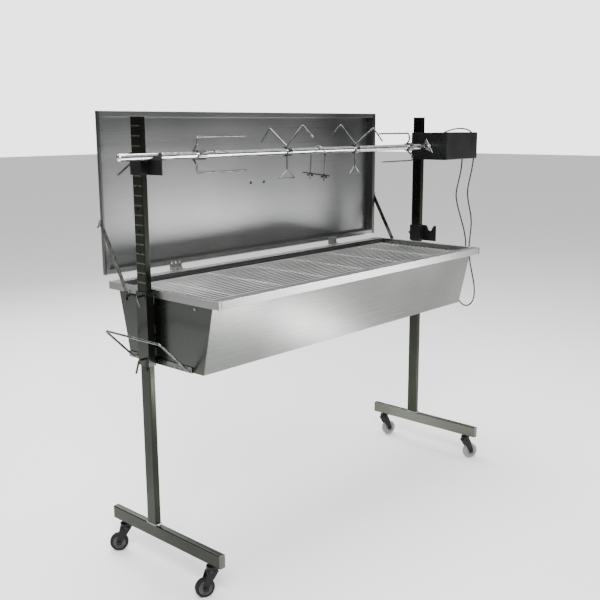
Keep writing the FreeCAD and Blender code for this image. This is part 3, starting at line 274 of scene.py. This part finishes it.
def add(tree, kind, inputs=None, **settings):
    """Adds a node, sets its settings, and fills its inputs with values or links."""
    node = tree.nodes.new(kind)
    for key, value in settings.items():
        setattr(node, key, value)
    for key, value in (inputs or {}).items():
        if isinstance(value, bpy.types.NodeSocket):
            tree.links.new(value, node.inputs[key])
        else:
            node.inputs[key].default_value = value
    return node


def start_material(name):
    """An empty material with its output, its Principled shader and Object coordinates."""
    material = bpy.data.materials.new(name)
    material.use_nodes = True
    tree = material.node_tree
    tree.nodes.clear()
    shader = add(tree, "ShaderNodeBsdfPrincipled")
    add(tree, "ShaderNodeOutputMaterial", {"Surface": shader.outputs[0]})
    place = add(tree, "ShaderNodeTexCoord").outputs["Object"]
    return material, tree, shader, place


def brushed_steel(name, dark, light, low, high, stretch, bump=0.03):
    """Steel, belt-brushed: fine scratches in one direction scatter the highlight along them.
    stretch gives the pattern's size along X, Y and Z in metres; low and high are roughness."""
    material, tree, shader, place = start_material(name)
    scale = [1 / s for s in stretch]
    laid = add(tree, "ShaderNodeMapping", {"Vector": place, "Scale": scale}).outputs[0]
    # real scratches are about 0.1 mm apart; these are coarser, so that they show
    lines = add(tree, "ShaderNodeTexNoise", {"Vector": laid, "Scale": 1.0, "Detail": 3.0}).outputs[0]
    clouds = add(tree, "ShaderNodeTexNoise", {"Vector": place, "Scale": 2.2, "Detail": 2.0}).outputs[0]
    both = add(tree, "ShaderNodeMix", {0: 0.25, 2: clouds, 3: lines}, data_type="FLOAT").outputs[0]
    tint = add(tree, "ShaderNodeMapRange", {"Value": both, "From Min": 0.35, "From Max": 0.65}).outputs[0]
    colour = add(tree, "ShaderNodeMix", {"Factor": tint, 6: linear(dark), 7: linear(light)}, data_type="RGBA")
    rough = add(tree, "ShaderNodeMapRange", {"Value": lines, "From Min": 0.3, "From Max": 0.7,
                                             "To Min": low, "To Max": high})
    soft = add(tree, "ShaderNodeBevel", {"Radius": 0.0012}, samples=4)
    relief = add(tree, "ShaderNodeBump", {"Height": lines, "Strength": bump, "Distance": SCRATCH_DEPTH,
                                          "Normal": soft.outputs[0]})
    tree.links.new(colour.outputs[2], shader.inputs["Base Color"])
    tree.links.new(rough.outputs[0], shader.inputs["Roughness"])
    tree.links.new(relief.outputs[0], shader.inputs["Normal"])
    shader.inputs["Metallic"].default_value = 1.0
    return material


def toned(material, bands):
    """Mixes other tones into a material where an Object coordinate lies in a band. Each band is
    (axis, low, high, tone, amount), in metres, and later bands cover earlier ones."""
    tree = material.node_tree
    shader = next(n for n in tree.nodes if n.type == "BSDF_PRINCIPLED")
    place = next(n for n in tree.nodes if n.type == "TEX_COORD").outputs["Object"]
    split = add(tree, "ShaderNodeSeparateXYZ", {0: place})
    for axis, low, high, tone, amount in bands:
        off = add(tree, "ShaderNodeMath", {0: split.outputs[axis], 1: (low + high) / 2}, operation="SUBTRACT")
        size = add(tree, "ShaderNodeMath", {0: off.outputs[0]}, operation="ABSOLUTE")
        inside = add(tree, "ShaderNodeMath", {0: size.outputs[0], 1: (high - low) / 2}, operation="LESS_THAN")
        part = add(tree, "ShaderNodeMath", {0: inside.outputs[0], 1: amount}, operation="MULTIPLY")
        old = shader.inputs["Base Color"].links[0].from_socket
        mix = add(tree, "ShaderNodeMix", {"Factor": part.outputs[0], 6: old, 7: linear(tone)},
                  data_type="RGBA")
        tree.links.new(mix.outputs[2], shader.inputs["Base Color"])
    return material


def post_steel(name, dark, light):
    """Satin steel tube with scored height marks: a thin light line across the outer face at
    every pitch, because the scratch shows bare metal."""
    material = brushed_steel(name, dark, light, 0.16, 0.26, (0.0015, 0.0015, 0.4))
    tree = material.node_tree
    shader = next(n for n in tree.nodes if n.type == "BSDF_PRINCIPLED")
    place = next(n for n in tree.nodes if n.type == "TEX_COORD").outputs["Object"]
    split = add(tree, "ShaderNodeSeparateXYZ", {0: place})
    marks = bpy.context.scene.roaster_stand
    count = add(tree, "ShaderNodeMath", {0: split.outputs[2], 1: marks.first_mark}, operation="SUBTRACT")
    turn = add(tree, "ShaderNodeMath", {0: count.outputs[0], 1: marks.half_pitch}, operation="PINGPONG")
    near = add(tree, "ShaderNodeMapRange", {"Value": turn.outputs[0], "From Min": 0.0012, "From Max": 0.0028,
                                            "To Min": 0.4, "To Max": 0.0})
    above = add(tree, "ShaderNodeMath", {0: split.outputs[2], 1: marks.first_mark - 0.005},
                operation="GREATER_THAN")
    out = add(tree, "ShaderNodeMath", {0: split.outputs[0]}, operation="ABSOLUTE")
    face = add(tree, "ShaderNodeMath", {0: out.outputs[0], 1: marks.outer_face}, operation="GREATER_THAN")
    both = add(tree, "ShaderNodeMath", {0: face.outputs[0], 1: above.outputs[0]}, operation="MULTIPLY")
    mask = add(tree, "ShaderNodeMath", {0: near.outputs[0], 1: both.outputs[0]}, operation="MULTIPLY")
    old = shader.inputs["Base Color"].links[0].from_socket
    mix = add(tree, "ShaderNodeMix", {"Factor": mask.outputs[0], 6: old, 7: linear("#8C8F88")},
              data_type="RGBA")
    tree.links.new(mix.outputs[2], shader.inputs["Base Color"])
    return material


def bright_metal(name, dark, light, low, high, grain=0.012):
    """Polished or plated metal: a clear mirror broken by faint smears and handling marks."""
    material, tree, shader, place = start_material(name)
    smear = add(tree, "ShaderNodeTexNoise", {"Vector": place, "Scale": 1 / grain, "Detail": 5.0}).outputs[0]
    tint = add(tree, "ShaderNodeMapRange", {"Value": smear, "From Min": 0.35, "From Max": 0.65}).outputs[0]
    colour = add(tree, "ShaderNodeMix", {"Factor": tint, 6: linear(dark), 7: linear(light)}, data_type="RGBA")
    rough = add(tree, "ShaderNodeMapRange", {"Value": smear, "From Min": 0.3, "From Max": 0.7,
                                             "To Min": low, "To Max": high})
    relief = add(tree, "ShaderNodeBump", {"Height": smear, "Strength": 0.06, "Distance": 0.0004})
    tree.links.new(colour.outputs[2], shader.inputs["Base Color"])
    tree.links.new(rough.outputs[0], shader.inputs["Roughness"])
    tree.links.new(relief.outputs[0], shader.inputs["Normal"])
    shader.inputs["Metallic"].default_value = 1.0
    return material


def coated(name, dark, light, low, high, peel, strength, translucent=0.0, sheen=0.5):
    """Coated, moulded or rubber surface: an even colour with a fine skin of bumps, peel metres
    across, and slow changes in sheen."""
    material, tree, shader, place = start_material(name)
    skin = add(tree, "ShaderNodeTexNoise", {"Vector": place, "Scale": 1 / peel, "Detail": 2.0}).outputs[0]
    slow = add(tree, "ShaderNodeTexNoise", {"Vector": place, "Scale": 14.0, "Detail": 3.0}).outputs[0]
    tint = add(tree, "ShaderNodeMapRange", {"Value": slow, "From Min": 0.35, "From Max": 0.65}).outputs[0]
    colour = add(tree, "ShaderNodeMix", {"Factor": tint, 6: linear(dark), 7: linear(light)}, data_type="RGBA")
    rough = add(tree, "ShaderNodeMapRange", {"Value": slow, "From Min": 0.3, "From Max": 0.7,
                                             "To Min": low, "To Max": high})
    soft = add(tree, "ShaderNodeBevel", {"Radius": 0.0010}, samples=4)
    relief = add(tree, "ShaderNodeBump", {"Height": skin, "Strength": strength, "Distance": peel / 6,
                                          "Normal": soft.outputs[0]})
    tree.links.new(colour.outputs[2], shader.inputs["Base Color"])
    tree.links.new(rough.outputs[0], shader.inputs["Roughness"])
    tree.links.new(relief.outputs[0], shader.inputs["Normal"])
    shader.inputs["IOR"].default_value = 1.5
    shader.inputs["Specular IOR Level"].default_value = sheen
    shader.inputs["Transmission Weight"].default_value = translucent
    return material


FINISHES = {}
# the first of these that a node's name starts with gives its finish; the rest are chrome
NODE_FINISHES = (
    ("trough_sleeve", "sheet_shaded"), ("trough_studs", "plated"), ("trough", "sheet"),
    ("lid_studs", "plated"), ("lid_handle", "chrome"), ("lid", "lid"), ("post", "post"),
    ("rail_right", "rail_painted_lit"), ("rail", "rail"), ("tube_caps", "cap"), ("castor_stems", "castor"),
    ("castor_fork", "castor"), ("castor_wheel_left", "tyre"), ("castor_wheel_right", "nylon"),
    ("grate", "grate"), ("hinge", "plated"), ("pin_", "dark_rod"), ("lift_handle", "rod"),
    ("stay_screw", "dark_rod"), ("stay", "rod"), ("spit_bracket_screw", "dark_rod"),
    ("spare_bracket_screw", "dark_rod"), ("motor_bracket_screw", "dark_rod"),
    ("spit_bracket", "powder"), ("spare_bracket", "powder"), ("motor_bracket", "powder"),
    ("motor_housing", "powder"), ("motor_screws", "dark_rod"), ("gear_motor", "cast"),
    ("cord", "lead"), ("plug", "plug"), ("fork", "chrome_painted_dark"), ("brace", "chrome_painted_dark"), ("ubolt", "chrome_painted_dark"),
)
# end plates darker: painted shade; folded rim lighter and its top edge white: painted highlight
TRAY_SHADE_AND_HIGHLIGHT_BANDS = (
    (2, 1.0080, 1.0362, "#A0A2A0", 0.45),
    (0, -0.7985, -0.7950, "#3E413D", 0.9), (0, 0.7950, 0.7985, "#3E413D", 0.9),
    (2, 1.0362, 1.0400, "#F2F2F2", 1.0),
)
# lid's lower lip and top edge white: painted highlight; its two ends darker: painted shade
LID_SHADE_AND_HIGHLIGHT_BANDS = (
    (2, 1.0400, 1.0580, "#F2F2F2", 0.9), (2, 1.6415, 1.6500, "#F2F2F2", 0.9),
    (0, 0.7870, 0.8200, "#4C4E4B", 0.8), (0, -0.8200, -0.8020, "#4C4E4B", 0.7),
)


def finish(piece, key):
    """Gives a piece one finish in all its slots."""
    piece.data.materials.clear()
    piece.data.materials.append(FINISHES[key])


# ---- settings ------------------------------------------------------------------------
class RoasterColours(bpy.types.PropertyGroup):
    """Colours of the finishes, as sRGB hex."""
    sheet: bpy.props.StringProperty(name="Sheet", description="Brushed sheet steel", default="#6C6E6B")
    stand: bpy.props.StringProperty(name="Stand", description="Satin tube of the stands", default="#33362F")
    plate: bpy.props.StringProperty(name="Brackets", description="Powder coat", default="#08090A")


class RoasterStand(bpy.types.PropertyGroup):
    """Sizes on the stands."""
    first_mark: bpy.props.FloatProperty(name="First mark", description="Height of the lowest mark",
                                        default=1.062, unit="LENGTH")
    half_pitch: bpy.props.FloatProperty(name="Half mark pitch", description="Half the distance between marks",
                                        default=0.033 / 2, unit="LENGTH")
    outer_face: bpy.props.FloatProperty(name="Marked face", default=0.8368, unit="LENGTH",
                                        description="Distance of the marked face from the middle")
    bead: bpy.props.FloatProperty(name="Weld bead", description="Radius of a weld bead",
                                  default=0.0026, unit="LENGTH")


class RoasterLead(bpy.types.PropertyGroup):
    """Sizes of the mains lead."""
    diameter: bpy.props.FloatProperty(name="Diameter", description="Sheath of the lead",
                                      default=0.007, unit="LENGTH")
    length: bpy.props.FloatProperty(name="Length", description="From gland to plug", default=2.0,
                                    unit="LENGTH")


# ---- pieces ------------------------------------------------------------------------------
class ROASTER_OT_finishes(bpy.types.Operator):
    """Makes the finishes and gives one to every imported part"""
    bl_idname = "roaster.finishes"
    bl_label = "Finishes"

    def execute(self, context):
        colours = context.scene.roaster_colours
        made = {
            # stainless sheet, belt-brushed along its length: long soft highlights
            "sheet": toned(brushed_steel("brushed stainless tray sheet", "#565856", colours.sheet, 0.25, 0.29,
                                         (0.5, 0.0015, 0.0015), bump=0.01), TRAY_SHADE_AND_HIGHLIGHT_BANDS),
            # the tray's sheet on the lid, painted lighter: painted light
            "lid": toned(brushed_steel("brushed stainless lid sheet painted lighter", "#7E807F", "#929392", 0.27, 0.30,
                                       (0.6, 0.0012, 0.0012), bump=0.01), LID_SHADE_AND_HIGHLIGHT_BANDS),
            # the same sheet on the end plates and sleeves, painted darker: painted shade
            "sheet_shaded": brushed_steel("brushed stainless sleeve painted darker", "#30332F", "#464944", 0.24, 0.32,
                                       (0.0015, 0.4, 0.0015)),
            # drawn tube, satin polished: darker, with streaks down its length
            "post": post_steel("satin steel post tube", "#1F211E", colours.stand),
            "rail": brushed_steel("satin steel rail tube", "#20221F", "#343731", 0.20, 0.30,
                                  (0.0015, 0.3, 0.0015)),
            # the right rail: the same tube painted lighter, a painted highlight
            "rail_painted_lit": brushed_steel("satin steel rail tube painted lighter", "#4B4E47", "#686B63", 0.20, 0.30,
                                       (0.0015, 0.3, 0.0015)),
            # bent rod, polished: near mirror
            "chrome": bright_metal("chromed steel rod", "#B9BABA", "#E6E7E7", 0.06, 0.16),
            "grate": bright_metal("polished steel rod", "#DADBD9", "#E9EAE8", 0.30, 0.34, 0.2),
            # zinc plating: greyer and softer than chrome
            "plated": bright_metal("zinc plated steel", "#777975", "#A6A8A3", 0.26, 0.42, 0.006),
            # bent rod, chromed like the bar but painted less bright: painted dark reflection and shade
            "chrome_painted_dark": bright_metal("chromed steel rod painted darker", "#5F615F", "#858785", 0.12, 0.22, 0.02),
            # stays and lift handles: plated steel painted darker, painted shade
            "rod": bright_metal("plated steel rod painted darker", "#464845", "#6B6D69", 0.20, 0.34, 0.02),
            "dark_rod": bright_metal("dark plated rod", "#2E302E", "#4B4D4A", 0.25, 0.42, 0.006),
            # polyester powder coat: fine orange peel, satin sheen
            "powder": coated("black powder coat", "#040405", colours.plate, 0.40, 0.52, 0.0016, 0.2,
                             sheen=0.25),
            # pressed fork, dip coated
            "castor": coated("black coated pressing", "#040404", "#0A0B0B", 0.36, 0.50, 0.0020, 0.2,
                             sheen=0.25),
            "tyre": coated("moulded rubber tyre", "#060606", "#101010", 0.62, 0.80, 0.0012, 0.5, sheen=0.3),
            "core": coated("grey moulded wheel core", "#3E403E", "#555755", 0.42, 0.58, 0.0015, 0.2),
            "nylon": coated("natural nylon wheel", "#6C6F6C", "#8D908D", 0.34, 0.48, 0.0015, 0.2,
                            translucent=0.12),
            "cap": coated("grey moulded tube plug", "#353733", "#4A4C48", 0.42, 0.58, 0.0012, 0.3),
            # soft PVC sheath: faint drag lines and a dull sheen
            "lead": coated("black PVC sheath", "#0B0B0C", "#151516", 0.42, 0.56, 0.0022, 0.3),
            "plug": coated("black moulded plug", "#0D0D0E", "#191A1B", 0.36, 0.50, 0.0010, 0.35),
            "cast": coated("die-cast gear case", "#6A6C6B", "#8B8D8C", 0.42, 0.60, 0.0016, 0.5),
        }
        FINISHES.update(made)
        for name, node in frame["nodes"].items():
            key = next((k for start, k in NODE_FINISHES if name.startswith(start)), "chrome")
            finish(node, key)
            node.data.shade_smooth()
            node.data.set_sharp_from_angle(angle=math.radians(35))
        return {"FINISHED"}


# control points of the lead's middle line, from the gland's tip to the plug
LEAD = [
    (1.030, 0.062, 1.478), (1.036, 0.098, 1.482), (1.055, 0.116, 1.512), (1.077, 0.100, 1.546),
    (1.088, 0.056, 1.564), (1.092, 0.002, 1.572), (1.094, -0.048, 1.563), (1.094, -0.077, 1.530),
    (1.094, -0.081, 1.474), (1.094, -0.074, 1.418), (1.094, -0.066, 1.362), (1.093, -0.054, 1.308),
    (1.093, -0.046, 1.258), (1.094, -0.058, 1.196), (1.096, -0.074, 1.134), (1.098, -0.072, 1.068),
    (1.098, -0.064, 1.004), (1.097, -0.068, 0.936), (1.096, -0.088, 0.858), (1.095, -0.108, 0.784),
    (1.093, -0.104, 0.716), (1.089, -0.067, 0.683), (1.084, -0.024, 0.706), (1.080, 0.000, 0.772),
    (1.078, -0.012, 0.846), (1.077, -0.038, 0.920), (1.077, -0.062, 0.994), (1.077, -0.048, 1.068),
    (1.078, -0.022, 1.138), (1.080, 0.002, 1.202), (1.082, 0.012, 1.252), (1.085, 0.000, 1.312),
    (1.087, -0.012, 1.370), (1.0885, -0.014, 1.420), (1.0885, -0.014, 1.464),
]


class ROASTER_OT_lead(bpy.types.Operator):
    """Makes the mains lead, its ribbed gland and its plug"""
    bl_idname = "roaster.lead"
    bl_label = "Mains lead"

    def execute(self, context):
        sizes = context.scene.roaster_lead
        line = bpy.data.curves.new("mains_lead", "CURVE")
        line.dimensions = "3D"
        spline = line.splines.new("NURBS")
        spline.points.add(len(LEAD) - 1)
        spline.points.foreach_set("co", np.hstack([LEAD, np.ones((len(LEAD), 1))]).ravel())
        spline.order_u = 3
        spline.use_endpoint_u = True
        spline.resolution_u = 8
        line.bevel_depth = sizes.diameter / 2
        line.bevel_resolution = 4
        line.use_fill_caps = True
        lead = bpy.data.objects.new("mains_lead", line)
        context.scene.collection.objects.link(lead)
        finish(lead, "lead")
        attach(lead, "motor")
        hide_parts("cord")
        gland = self.gland()
        plug = self.plug()
        return {"FINISHED"}

    def gland(self):
        """Ribbed strain relief: the radius falls evenly along it and dips between ribs,
        r = start - fall s / length + rib cos(2 pi s / pitch)."""
        low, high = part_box("cord_gland")
        y = high[1]
        s = np.linspace(0, GLAND_BODY, 49)
        r = GLAND_R - GLAND_FALL * s / GLAND_BODY + GLAND_RIB * np.cos(2 * np.pi * s / GLAND_PITCH)
        body = np.stack([r, y - GLAND_BODY + s - GLAND_TIP_GAP], 1)
        back = low[1] + GLAND_NECK_IN
        start, end = y - GLAND_RING[0], y - GLAND_RING[1]
        neck = [[0.0, back], [GLAND_NECK_R, back], [GLAND_NECK_R, start]]
        ring = [[GLAND_RING_R, start], [GLAND_RING_R, end]]
        profile = np.vstack([neck, ring, body, [[0.0, y - GLAND_TIP_GAP]]])
        piece = turned_surface("lead_gland", profile, (LEAD[0][0], 0, LEAD[0][2]), (0, 1, 0), 32)
        finish(piece, "lead")
        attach(piece, "motor")
        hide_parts("cord_gland")
        return piece

    def plug(self):
        """Moulded plug: rounded-rectangle sections whose half sizes swell and then narrow to the
        lead, |x/a|^4 + |y/b|^4 = 1, with its two pins added as turned rods."""
        low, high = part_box("plug")
        x0 = (low[0] + high[0]) / 2
        y0 = (low[1] + high[1]) / 2
        top = high[2] - PIN_L
        v = np.linspace(0, 1, 25)
        swell = np.interp(v, *PLUG_SWELL)
        a = PLUG_HALF_X * np.maximum(swell, PLUG_LEAST)
        b = PLUG_HALF_Y * swell
        z = low[2] + v * (top - low[2])
        t = np.linspace(0, 2 * np.pi, 48, endpoint=False)
        power = PLUG_ROUNDING
        shape = (np.abs(np.cos(t)) ** power + np.abs(np.sin(t)) ** power) ** (-1 / power)
        points = np.stack([x0 + a[:, None] * np.cos(t) * shape, y0 + b[:, None] * np.sin(t) * shape,
                           np.broadcast_to(z[:, None], (25, 48))], -1)
        piece = grid_mesh("mains_plug", points, wrap_v=True, cap_u=True)
        face_outwards(piece)
        finish(piece, "plug")
        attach(piece, "motor")
        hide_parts("plug")
        for k, way in enumerate((-1, 1)):
            foot = (x0, y0 + way * PIN_HALF, top)
            pin = turned_surface(f"plug_pin_{k + 1}", PIN_PROFILE, foot, (0, 0, 1), 20)
            finish(pin, "chrome")
            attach(pin, "motor")
        return piece


class ROASTER_OT_wheels(bpy.types.Operator):
    """Makes the castor wheels: a crowned tyre on a dished core, and a collar on each fork"""
    bl_idname = "roaster.wheels"
    bl_label = "Castor wheels"

    def execute(self, context):
        joints = {j["child"]: j for j in frame["joints"]}
        for body, nodes in BODIES.items():
            if body.startswith("wheel_"):
                self.wheel(body, nodes[0], joints[body])
            if body.startswith("castor_"):
                self.head(body, joints[body])
        return {"FINISHED"}

    def wheel(self, body, node, joint):
        """Tyre: a ring whose tread is crowned, r = R - crown (w / half)^4, with sloped shoulders.
        Core: a dished disc with a rim, a web and a hub."""
        centre, axis = joint["pos_m"], joint["axis"]
        w = np.linspace(-1, 1, 21)
        tread = np.stack([WHEEL_R - TYRE_CROWN * np.abs(w) ** 4, TYRE_HALF * w], 1)
        shoulder, bore = TYRE_SHOULDER, TYRE_BORE
        inside = [shoulder, bore, (bore[0], -bore[1]), (shoulder[0], -shoulder[1])]
        profile = np.vstack([tread, inside])
        left = "_l_" in body
        tyre = turned_surface(body + "_tyre", profile, centre, axis, 64)
        finish(tyre, "tyre" if left else "nylon")
        other = [(r, -x) for r, x in reversed(CORE_PROFILE)]
        core = turned_surface(body + "_core", [*CORE_PROFILE, *other], centre, axis, 48)
        finish(core, "core" if left else "nylon")
        for piece in (tyre, core):
            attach(piece, body)
            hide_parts(node)

    def head(self, body, joint):
        """Rolled collar of the swivel head, turned about the swivel's axis."""
        x, y = joint["pos_m"][:2]
        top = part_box(BODIES[body][0])[1][2]
        ring = turned_surface(body + "_collar", COLLAR_PROFILE, (x, y, top), (0, 0, 1), 40)
        finish(ring, "castor")
        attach(ring, body)


class ROASTER_OT_welds(bpy.types.Operator):
    """Makes the weld beads at the posts' feet, the sleeves and the lift handles"""
    bl_idname = "roaster.welds"
    bl_label = "Weld beads"

    def execute(self, context):
        bead = context.scene.roaster_stand.bead
        for side in ("left", "right"):
            low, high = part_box("post_" + side)
            z = low[2] + bead * FOOT_RISE
            corners = [(low[0], low[1], z), (high[0], low[1], z), (high[0], high[1], z), (low[0], high[1], z)]
            finish(weld("foot_weld_" + side, corners, (0, 0, 1), "stand", bead, PUDDLE), "plated")
            front = low[1] - FILLET_OUT
            blob = [(low[0] + FILLET_IN, front, z), (high[0] - FILLET_IN, front, z)]
            size = bead * FILLET_SCALE
            fillet = weld("foot_fillet_" + side, blob, (0, 0, 1), "stand", size, FILLET_PUDDLE, False)
            finish(fillet, "chrome")
            self.sleeve(side, bead)
            self.handle(side, bead)
        return {"FINISHED"}

    def sleeve(self, side, bead):
        """Stitch welds down both edges where the sleeve meets the trough's end."""
        low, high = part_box("trough_sleeve_" + side)
        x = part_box("trough")[0 if side == "left" else 1][0]
        z_mid = (low[2] + high[2]) / 2
        for k, y in enumerate((low[1], high[1])):
            for n, z in enumerate((low[2] + STITCH_LOW, z_mid, high[2] - STITCH_HIGH)):
                run = [(x, y, z - STITCH_HALF), (x, y, z + STITCH_HALF)]
                name = f"sleeve_weld_{side}_{k}{n}"
                piece = weld(name, run, (1, 0, 0), "stand", bead * STITCH_SCALE, PUDDLE, False)
                # the stitches take the sleeves' darker sheet: painted shade
                finish(piece, "sheet_shaded")

    def handle(self, side, bead):
        """A ring of weld round each foot of the lift handle: its radius is a share of the bead's,
        times 1 + ripple sin(swells t)."""
        low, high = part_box("lift_handle_" + side)
        way = -1 if side == "left" else 1
        x = (high[0] if way < 0 else low[0]) + way * HANDLE_OUT
        t = np.linspace(0, 2 * np.pi, 24, endpoint=False)
        z = low[2] + HANDLE_UP
        for k, y in enumerate(HANDLE_YS):
            ring = np.stack([np.full(24, x), y + HANDLE_R * np.cos(t), z + HANDLE_R * np.sin(t)], 1)
            radius = bead * HANDLE_SCALE * (1 + HANDLE_RIPPLE * np.sin(HANDLE_SWELLS * t))
            piece = swept(f"handle_weld_{side}_{k}", ring, (1, 0, 0), radius, 10, True)
            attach(piece, "stand")
            finish(piece, "plated")


class ROASTER_OT_rivets(bpy.types.Operator):
    """Makes the rivets of the hinges, the domed bolt heads in the lid and the cover's screws"""
    bl_idname = "roaster.rivets"
    bl_label = "Rivets and bolt heads"

    def execute(self, context):
        lid_low, lid_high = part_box("lid")
        leaf_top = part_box("hinge_leaves_lid")[1][2]
        leaf_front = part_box("hinge_leaves_trough")[0][1]
        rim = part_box("trough")[1][2]
        for k, middle in enumerate(HINGE_XS):
            for n, step in enumerate(RIVET_STEPS):
                x = middle + step
                face = (x, lid_low[1] - LEAF_T, leaf_top - LID_RIVET_DOWN)
                piece = dome(f"lid_rivet_{k}{n}", face, (0, -1, 0), RIVET_R, RIVET_H, "lid")
                finish(piece, "chrome")
                top = (x, leaf_front + RIM_RIVET_BACK, rim + LEAF_T)
                piece = dome(f"trough_rivet_{k}{n}", top, (0, 0, 1), RIVET_R, RIVET_H, "stand")
                finish(piece, "chrome")
        for k, x in enumerate(BOLT_XS):
            seat = (x, lid_high[1] - BOLT_IN, (lid_low[2] + lid_high[2]) / 2)
            piece = dome(f"handle_bolt_{k + 1}", seat, (0, -1, 0), BOLT_R, BOLT_H, "lid")
            finish(piece, "dark_rod")
        low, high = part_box("motor_housing")
        for k, z in enumerate((low[2] + SCREW_Z_IN, high[2] - SCREW_Z_IN)):
            for n, x in enumerate(SCREW_XS):
                spot = (low[0] + x, low[1], z)
                piece = dome(f"cover_screw_{k}{n}", spot, (0, -1, 0), SCREW_R, SCREW_H, "motor")
                finish(piece, "dark_rod")
        return {"FINISHED"}


# ---- studio -----------------------------------------------------------------------------
class ROASTER_OT_studio(bpy.types.Operator):
    """Makes the pale floor, the soft lights and the camera"""
    bl_idname = "roaster.studio"
    bl_label = "Studio"

    def execute(self, context):
        t = np.array([-FLOOR_HALF, FLOOR_HALF])
        x, y = np.meshgrid(t, t, indexing="ij")
        floor = grid_mesh("studio_floor", np.stack([x, y, np.zeros_like(x) - FLOOR_DROP], -1))
        material, tree, shader, place = start_material("pale studio floor")
        haze = add(tree, "ShaderNodeTexNoise", {"Vector": place, "Scale": 0.6, "Detail": 2.0}).outputs[0]
        colour = add(tree, "ShaderNodeMix", {"Factor": haze, 6: linear("#FAFAFA"), 7: linear("#FDFDFD")},
                     data_type="RGBA")
        tree.links.new(colour.outputs[2], shader.inputs["Base Color"])
        shader.inputs["Roughness"].default_value = 0.85
        shader.inputs["Specular IOR Level"].default_value = 0.1
        floor.data.materials.append(material)
        self.sky(context)
        for lamp in LIGHTS:
            self.light(*lamp)
        self.camera(context)
        return {"FINISHED"}

    def sky(self, context):
        """A white backdrop; what the metal mirrors is softly banded, dark low and bright above."""
        world = bpy.data.worlds.new("studio_world")
        context.scene.world = world
        world.use_nodes = True
        tree = world.node_tree
        tree.nodes.clear()
        way = add(tree, "ShaderNodeTexCoord").outputs["Generated"]
        split = add(tree, "ShaderNodeSeparateXYZ", {0: way})
        height = add(tree, "ShaderNodeMapRange", {"Value": split.outputs[2], "From Min": -1.0,
                                                  "From Max": 1.0})
        ramp = add(tree, "ShaderNodeValToRGB", {0: height.outputs[0]})
        stops = ramp.color_ramp.elements
        where, grey = SKY_LOW
        stops[0].position, stops[0].color = where, (grey, grey, grey, 1)
        stops[1].position, stops[1].color = 1.0, (1.0, 1.0, 1.0, 1)
        for where, grey in SKY_STOPS:
            stop = stops.new(where)
            stop.color = (grey, grey, grey, 1)
        seen = add(tree, "ShaderNodeLightPath").outputs["Is Camera Ray"]
        white = (SEEN_SKY, SEEN_SKY, SEEN_SKY, 1.0)
        shown = add(tree, "ShaderNodeMix", {"Factor": seen, 6: ramp.outputs[0], 7: white}, data_type="RGBA")
        back = add(tree, "ShaderNodeBackground", {"Color": shown.outputs[2], "Strength": 1.0})
        add(tree, "ShaderNodeOutputWorld", {"Surface": back.outputs[0]})

    def light(self, name, place, target, width, power, height, turn):
        """A rectangular lamp that faces its target, turned about its own beam."""
        lamp = bpy.data.lights.new(name, "AREA")
        lamp.shape = "RECTANGLE"
        lamp.size = width
        lamp.size_y = height or width
        lamp.energy = power
        holder = bpy.data.objects.new(name, lamp)
        aim = (Vector(target) - Vector(place)).to_track_quat("-Z", "Y").to_matrix().to_4x4()
        spin = Matrix.Rotation(math.radians(turn), 4, "Z")
        holder.matrix_world = Matrix.Translation(place) @ aim @ spin
        holder.visible_camera = False
        bpy.context.scene.collection.objects.link(holder)

    def camera(self, context):
        """Camera at the front left: it looks along azimuth from +Y towards +X, and down by the
        elevation."""
        azimuth, elevation, roll = (math.radians(a) for a in CAMERA_TURN)
        forward = Vector((math.sin(azimuth) * math.cos(elevation), math.cos(azimuth) * math.cos(elevation),
                          -math.sin(elevation)))
        level = Vector((math.cos(azimuth), -math.sin(azimuth), 0.0))
        upright = level.cross(forward)
        right = math.cos(roll) * level + math.sin(roll) * upright
        up = -math.sin(roll) * level + math.cos(roll) * upright
        data = bpy.data.cameras.new("camera")
        data.sensor_width = CAMERA_SENSOR
        data.lens = CAMERA_LENS
        holder = bpy.data.objects.new("camera", data)
        turn = Matrix((right, up, -forward)).transposed()
        holder.matrix_world = Matrix.Translation(CAMERA_PLACE) @ turn.to_4x4()
        context.scene.collection.objects.link(holder)
        context.scene.camera = holder


class ROASTER_PT_panel(bpy.types.Panel):
    """Lists the roaster's settings and operators"""
    bl_idname = "ROASTER_PT_panel"
    bl_label = "Spit roaster"
    bl_space_type = "VIEW_3D"
    bl_region_type = "UI"
    bl_category = "Roaster"

    def draw(self, context):
        for group in (context.scene.roaster_colours, context.scene.roaster_stand, context.scene.roaster_lead):
            for key in group.__annotations__:
                self.layout.prop(group, key)
        for operator in OPERATORS:
            self.layout.operator(operator.bl_idname)


OPERATORS = (ROASTER_OT_finishes, ROASTER_OT_lead, ROASTER_OT_wheels, ROASTER_OT_welds, ROASTER_OT_rivets,
             ROASTER_OT_studio)
CLASSES = (RoasterColours, RoasterStand, RoasterLead, *OPERATORS, ROASTER_PT_panel)


def register():
    """Registers the classes and hangs the settings on the scene."""
    for item in CLASSES:
        bpy.utils.register_class(item)
    bpy.types.Scene.roaster_colours = bpy.props.PointerProperty(type=RoasterColours)
    bpy.types.Scene.roaster_stand = bpy.props.PointerProperty(type=RoasterStand)
    bpy.types.Scene.roaster_lead = bpy.props.PointerProperty(type=RoasterLead)


def unregister():
    """Takes the settings and classes away again."""
    del bpy.types.Scene.roaster_lead
    del bpy.types.Scene.roaster_stand
    del bpy.types.Scene.roaster_colours
    for item in reversed(CLASSES):
        bpy.utils.unregister_class(item)


def main():
    """Makes everything in order."""
    register()
    bpy.ops.roaster.finishes()
    bpy.ops.roaster.lead()
    bpy.ops.roaster.wheels()
    bpy.ops.roaster.welds()
    bpy.ops.roaster.rivets()
    bpy.ops.roaster.studio()


if __name__ == "__main__":
    main()
